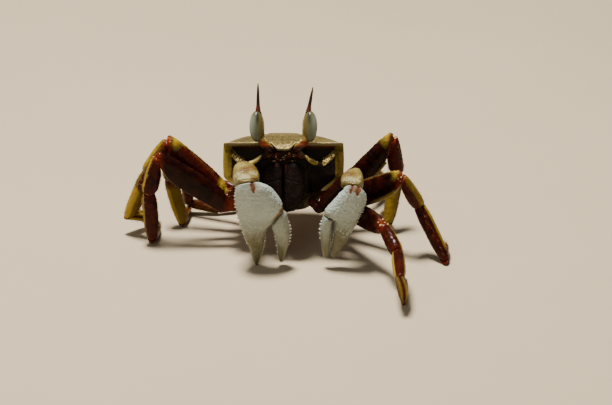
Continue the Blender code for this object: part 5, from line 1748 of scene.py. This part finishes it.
class CRAB_OT_stage(bpy.types.Operator):
    """Makes the pale floor, the soft lights and the camera"""

    bl_idname = "crab.stage"
    bl_label = "Stage"

    def execute(self, context):
        scene = context.scene
        finish = Finish("floor")
        cloud = finish.noise(60.0, 3.0)
        tone = finish.mix(cloud, shade(scene.crab_colours.floor, 0.93), scene.crab_colours.floor)
        material = finish.surface(tone, cloud * 0.1 + 0.75, finish.noise(0.8, 3.0), 0.05)
        mesh = bpy.data.meshes.new("floor")
        square = [(x * FLOOR_HALF, y * FLOOR_HALF, 0) for x, y in ((-1, -1), (1, -1), (1, 1), (-1, 1))]
        mesh.from_pydata(square, [], [(0, 1, 2, 3)])
        mesh.materials.append(material)
        floor = bpy.data.objects.new("floor", mesh)
        scene.collection.objects.link(floor)

        scene.world = bpy.data.worlds.new("studio")
        scene.world.use_nodes = True
        sky = scene.world.node_tree.nodes["Background"].inputs
        sky["Color"].default_value = (1.0, 0.96, 0.90, 1.0)
        sky["Strength"].default_value = 0.13
        for name, lamp in LAMPS.items():
            self.lamp(scene, name, *lamp)

        camera = bpy.data.cameras.new("camera")
        camera.sensor_width = SENSOR
        camera.lens = SENSOR * VIEW_DISTANCE / VIEW_WIDTH
        camera.clip_end = 20.0
        shot = bpy.data.objects.new("camera", camera)
        back = np.array([0.0, -math.cos(VIEW_RISE), math.sin(VIEW_RISE)])
        shot.location = (np.array(VIEW_TARGET) + VIEW_DISTANCE * back) * MM
        shot.rotation_euler = (math.pi / 2 - VIEW_RISE, 0.0, 0.0)
        scene.collection.objects.link(shot)
        scene.camera = shot
        return {"FINISHED"}

    def lamp(self, scene, name, place, size, power, colour):
        """A square area lamp that looks at the crab's middle."""
        light = bpy.data.lights.new(name, "AREA")
        light.size, light.energy, light.color = size, power, colour
        lamp = bpy.data.objects.new(name, light)
        lamp.location = place
        away = unit(np.array(place) - LAMP_TARGET)
        lamp.rotation_euler = (math.acos(away[2]), 0.0, math.atan2(away[1], away[0]) + math.pi / 2)
        scene.collection.objects.link(lamp)


class CRAB_PT_panel(bpy.types.Panel):
    """Lists the steps that build the crab"""

    bl_idname = "CRAB_PT_panel"
    bl_label = "Horned ghost crab"
    bl_space_type = "VIEW_3D"
    bl_region_type = "UI"
    bl_category = "Crab"

    def draw(self, context):
        for group in (context.scene.crab_sizes, context.scene.crab_colours):
            for name in group.bl_rna.properties.keys():
                if name not in ("rna_type", "name"):
                    self.layout.prop(group, name)
        for step in STEPS:
            self.layout.operator(step.bl_idname)


STEPS = (CRAB_OT_stage, CRAB_OT_back, CRAB_OT_walls, CRAB_OT_underside, CRAB_OT_mouth, CRAB_OT_eyes,
         CRAB_OT_claws, CRAB_OT_walking_legs, CRAB_OT_hairs)
CLASSES = (CrabSizes, CrabColours, *STEPS, CRAB_PT_panel)


def register():
    """Registers the classes and hangs the settings on the scene."""
    for one in CLASSES:
        bpy.utils.register_class(one)
    bpy.types.Scene.crab_sizes = bpy.props.PointerProperty(type=CrabSizes)
    bpy.types.Scene.crab_colours = bpy.props.PointerProperty(type=CrabColours)


def unregister():
    """Takes the settings and the classes away again."""
    del bpy.types.Scene.crab_colours
    del bpy.types.Scene.crab_sizes
    for one in reversed(CLASSES):
        bpy.utils.unregister_class(one)


def main():
    """Builds the whole scene."""
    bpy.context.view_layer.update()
    register()
    for step in STEPS:
        group, name = step.bl_idname.split(".")
        getattr(getattr(bpy.ops, group), name)()


if __name__ == "__main__":
    main()
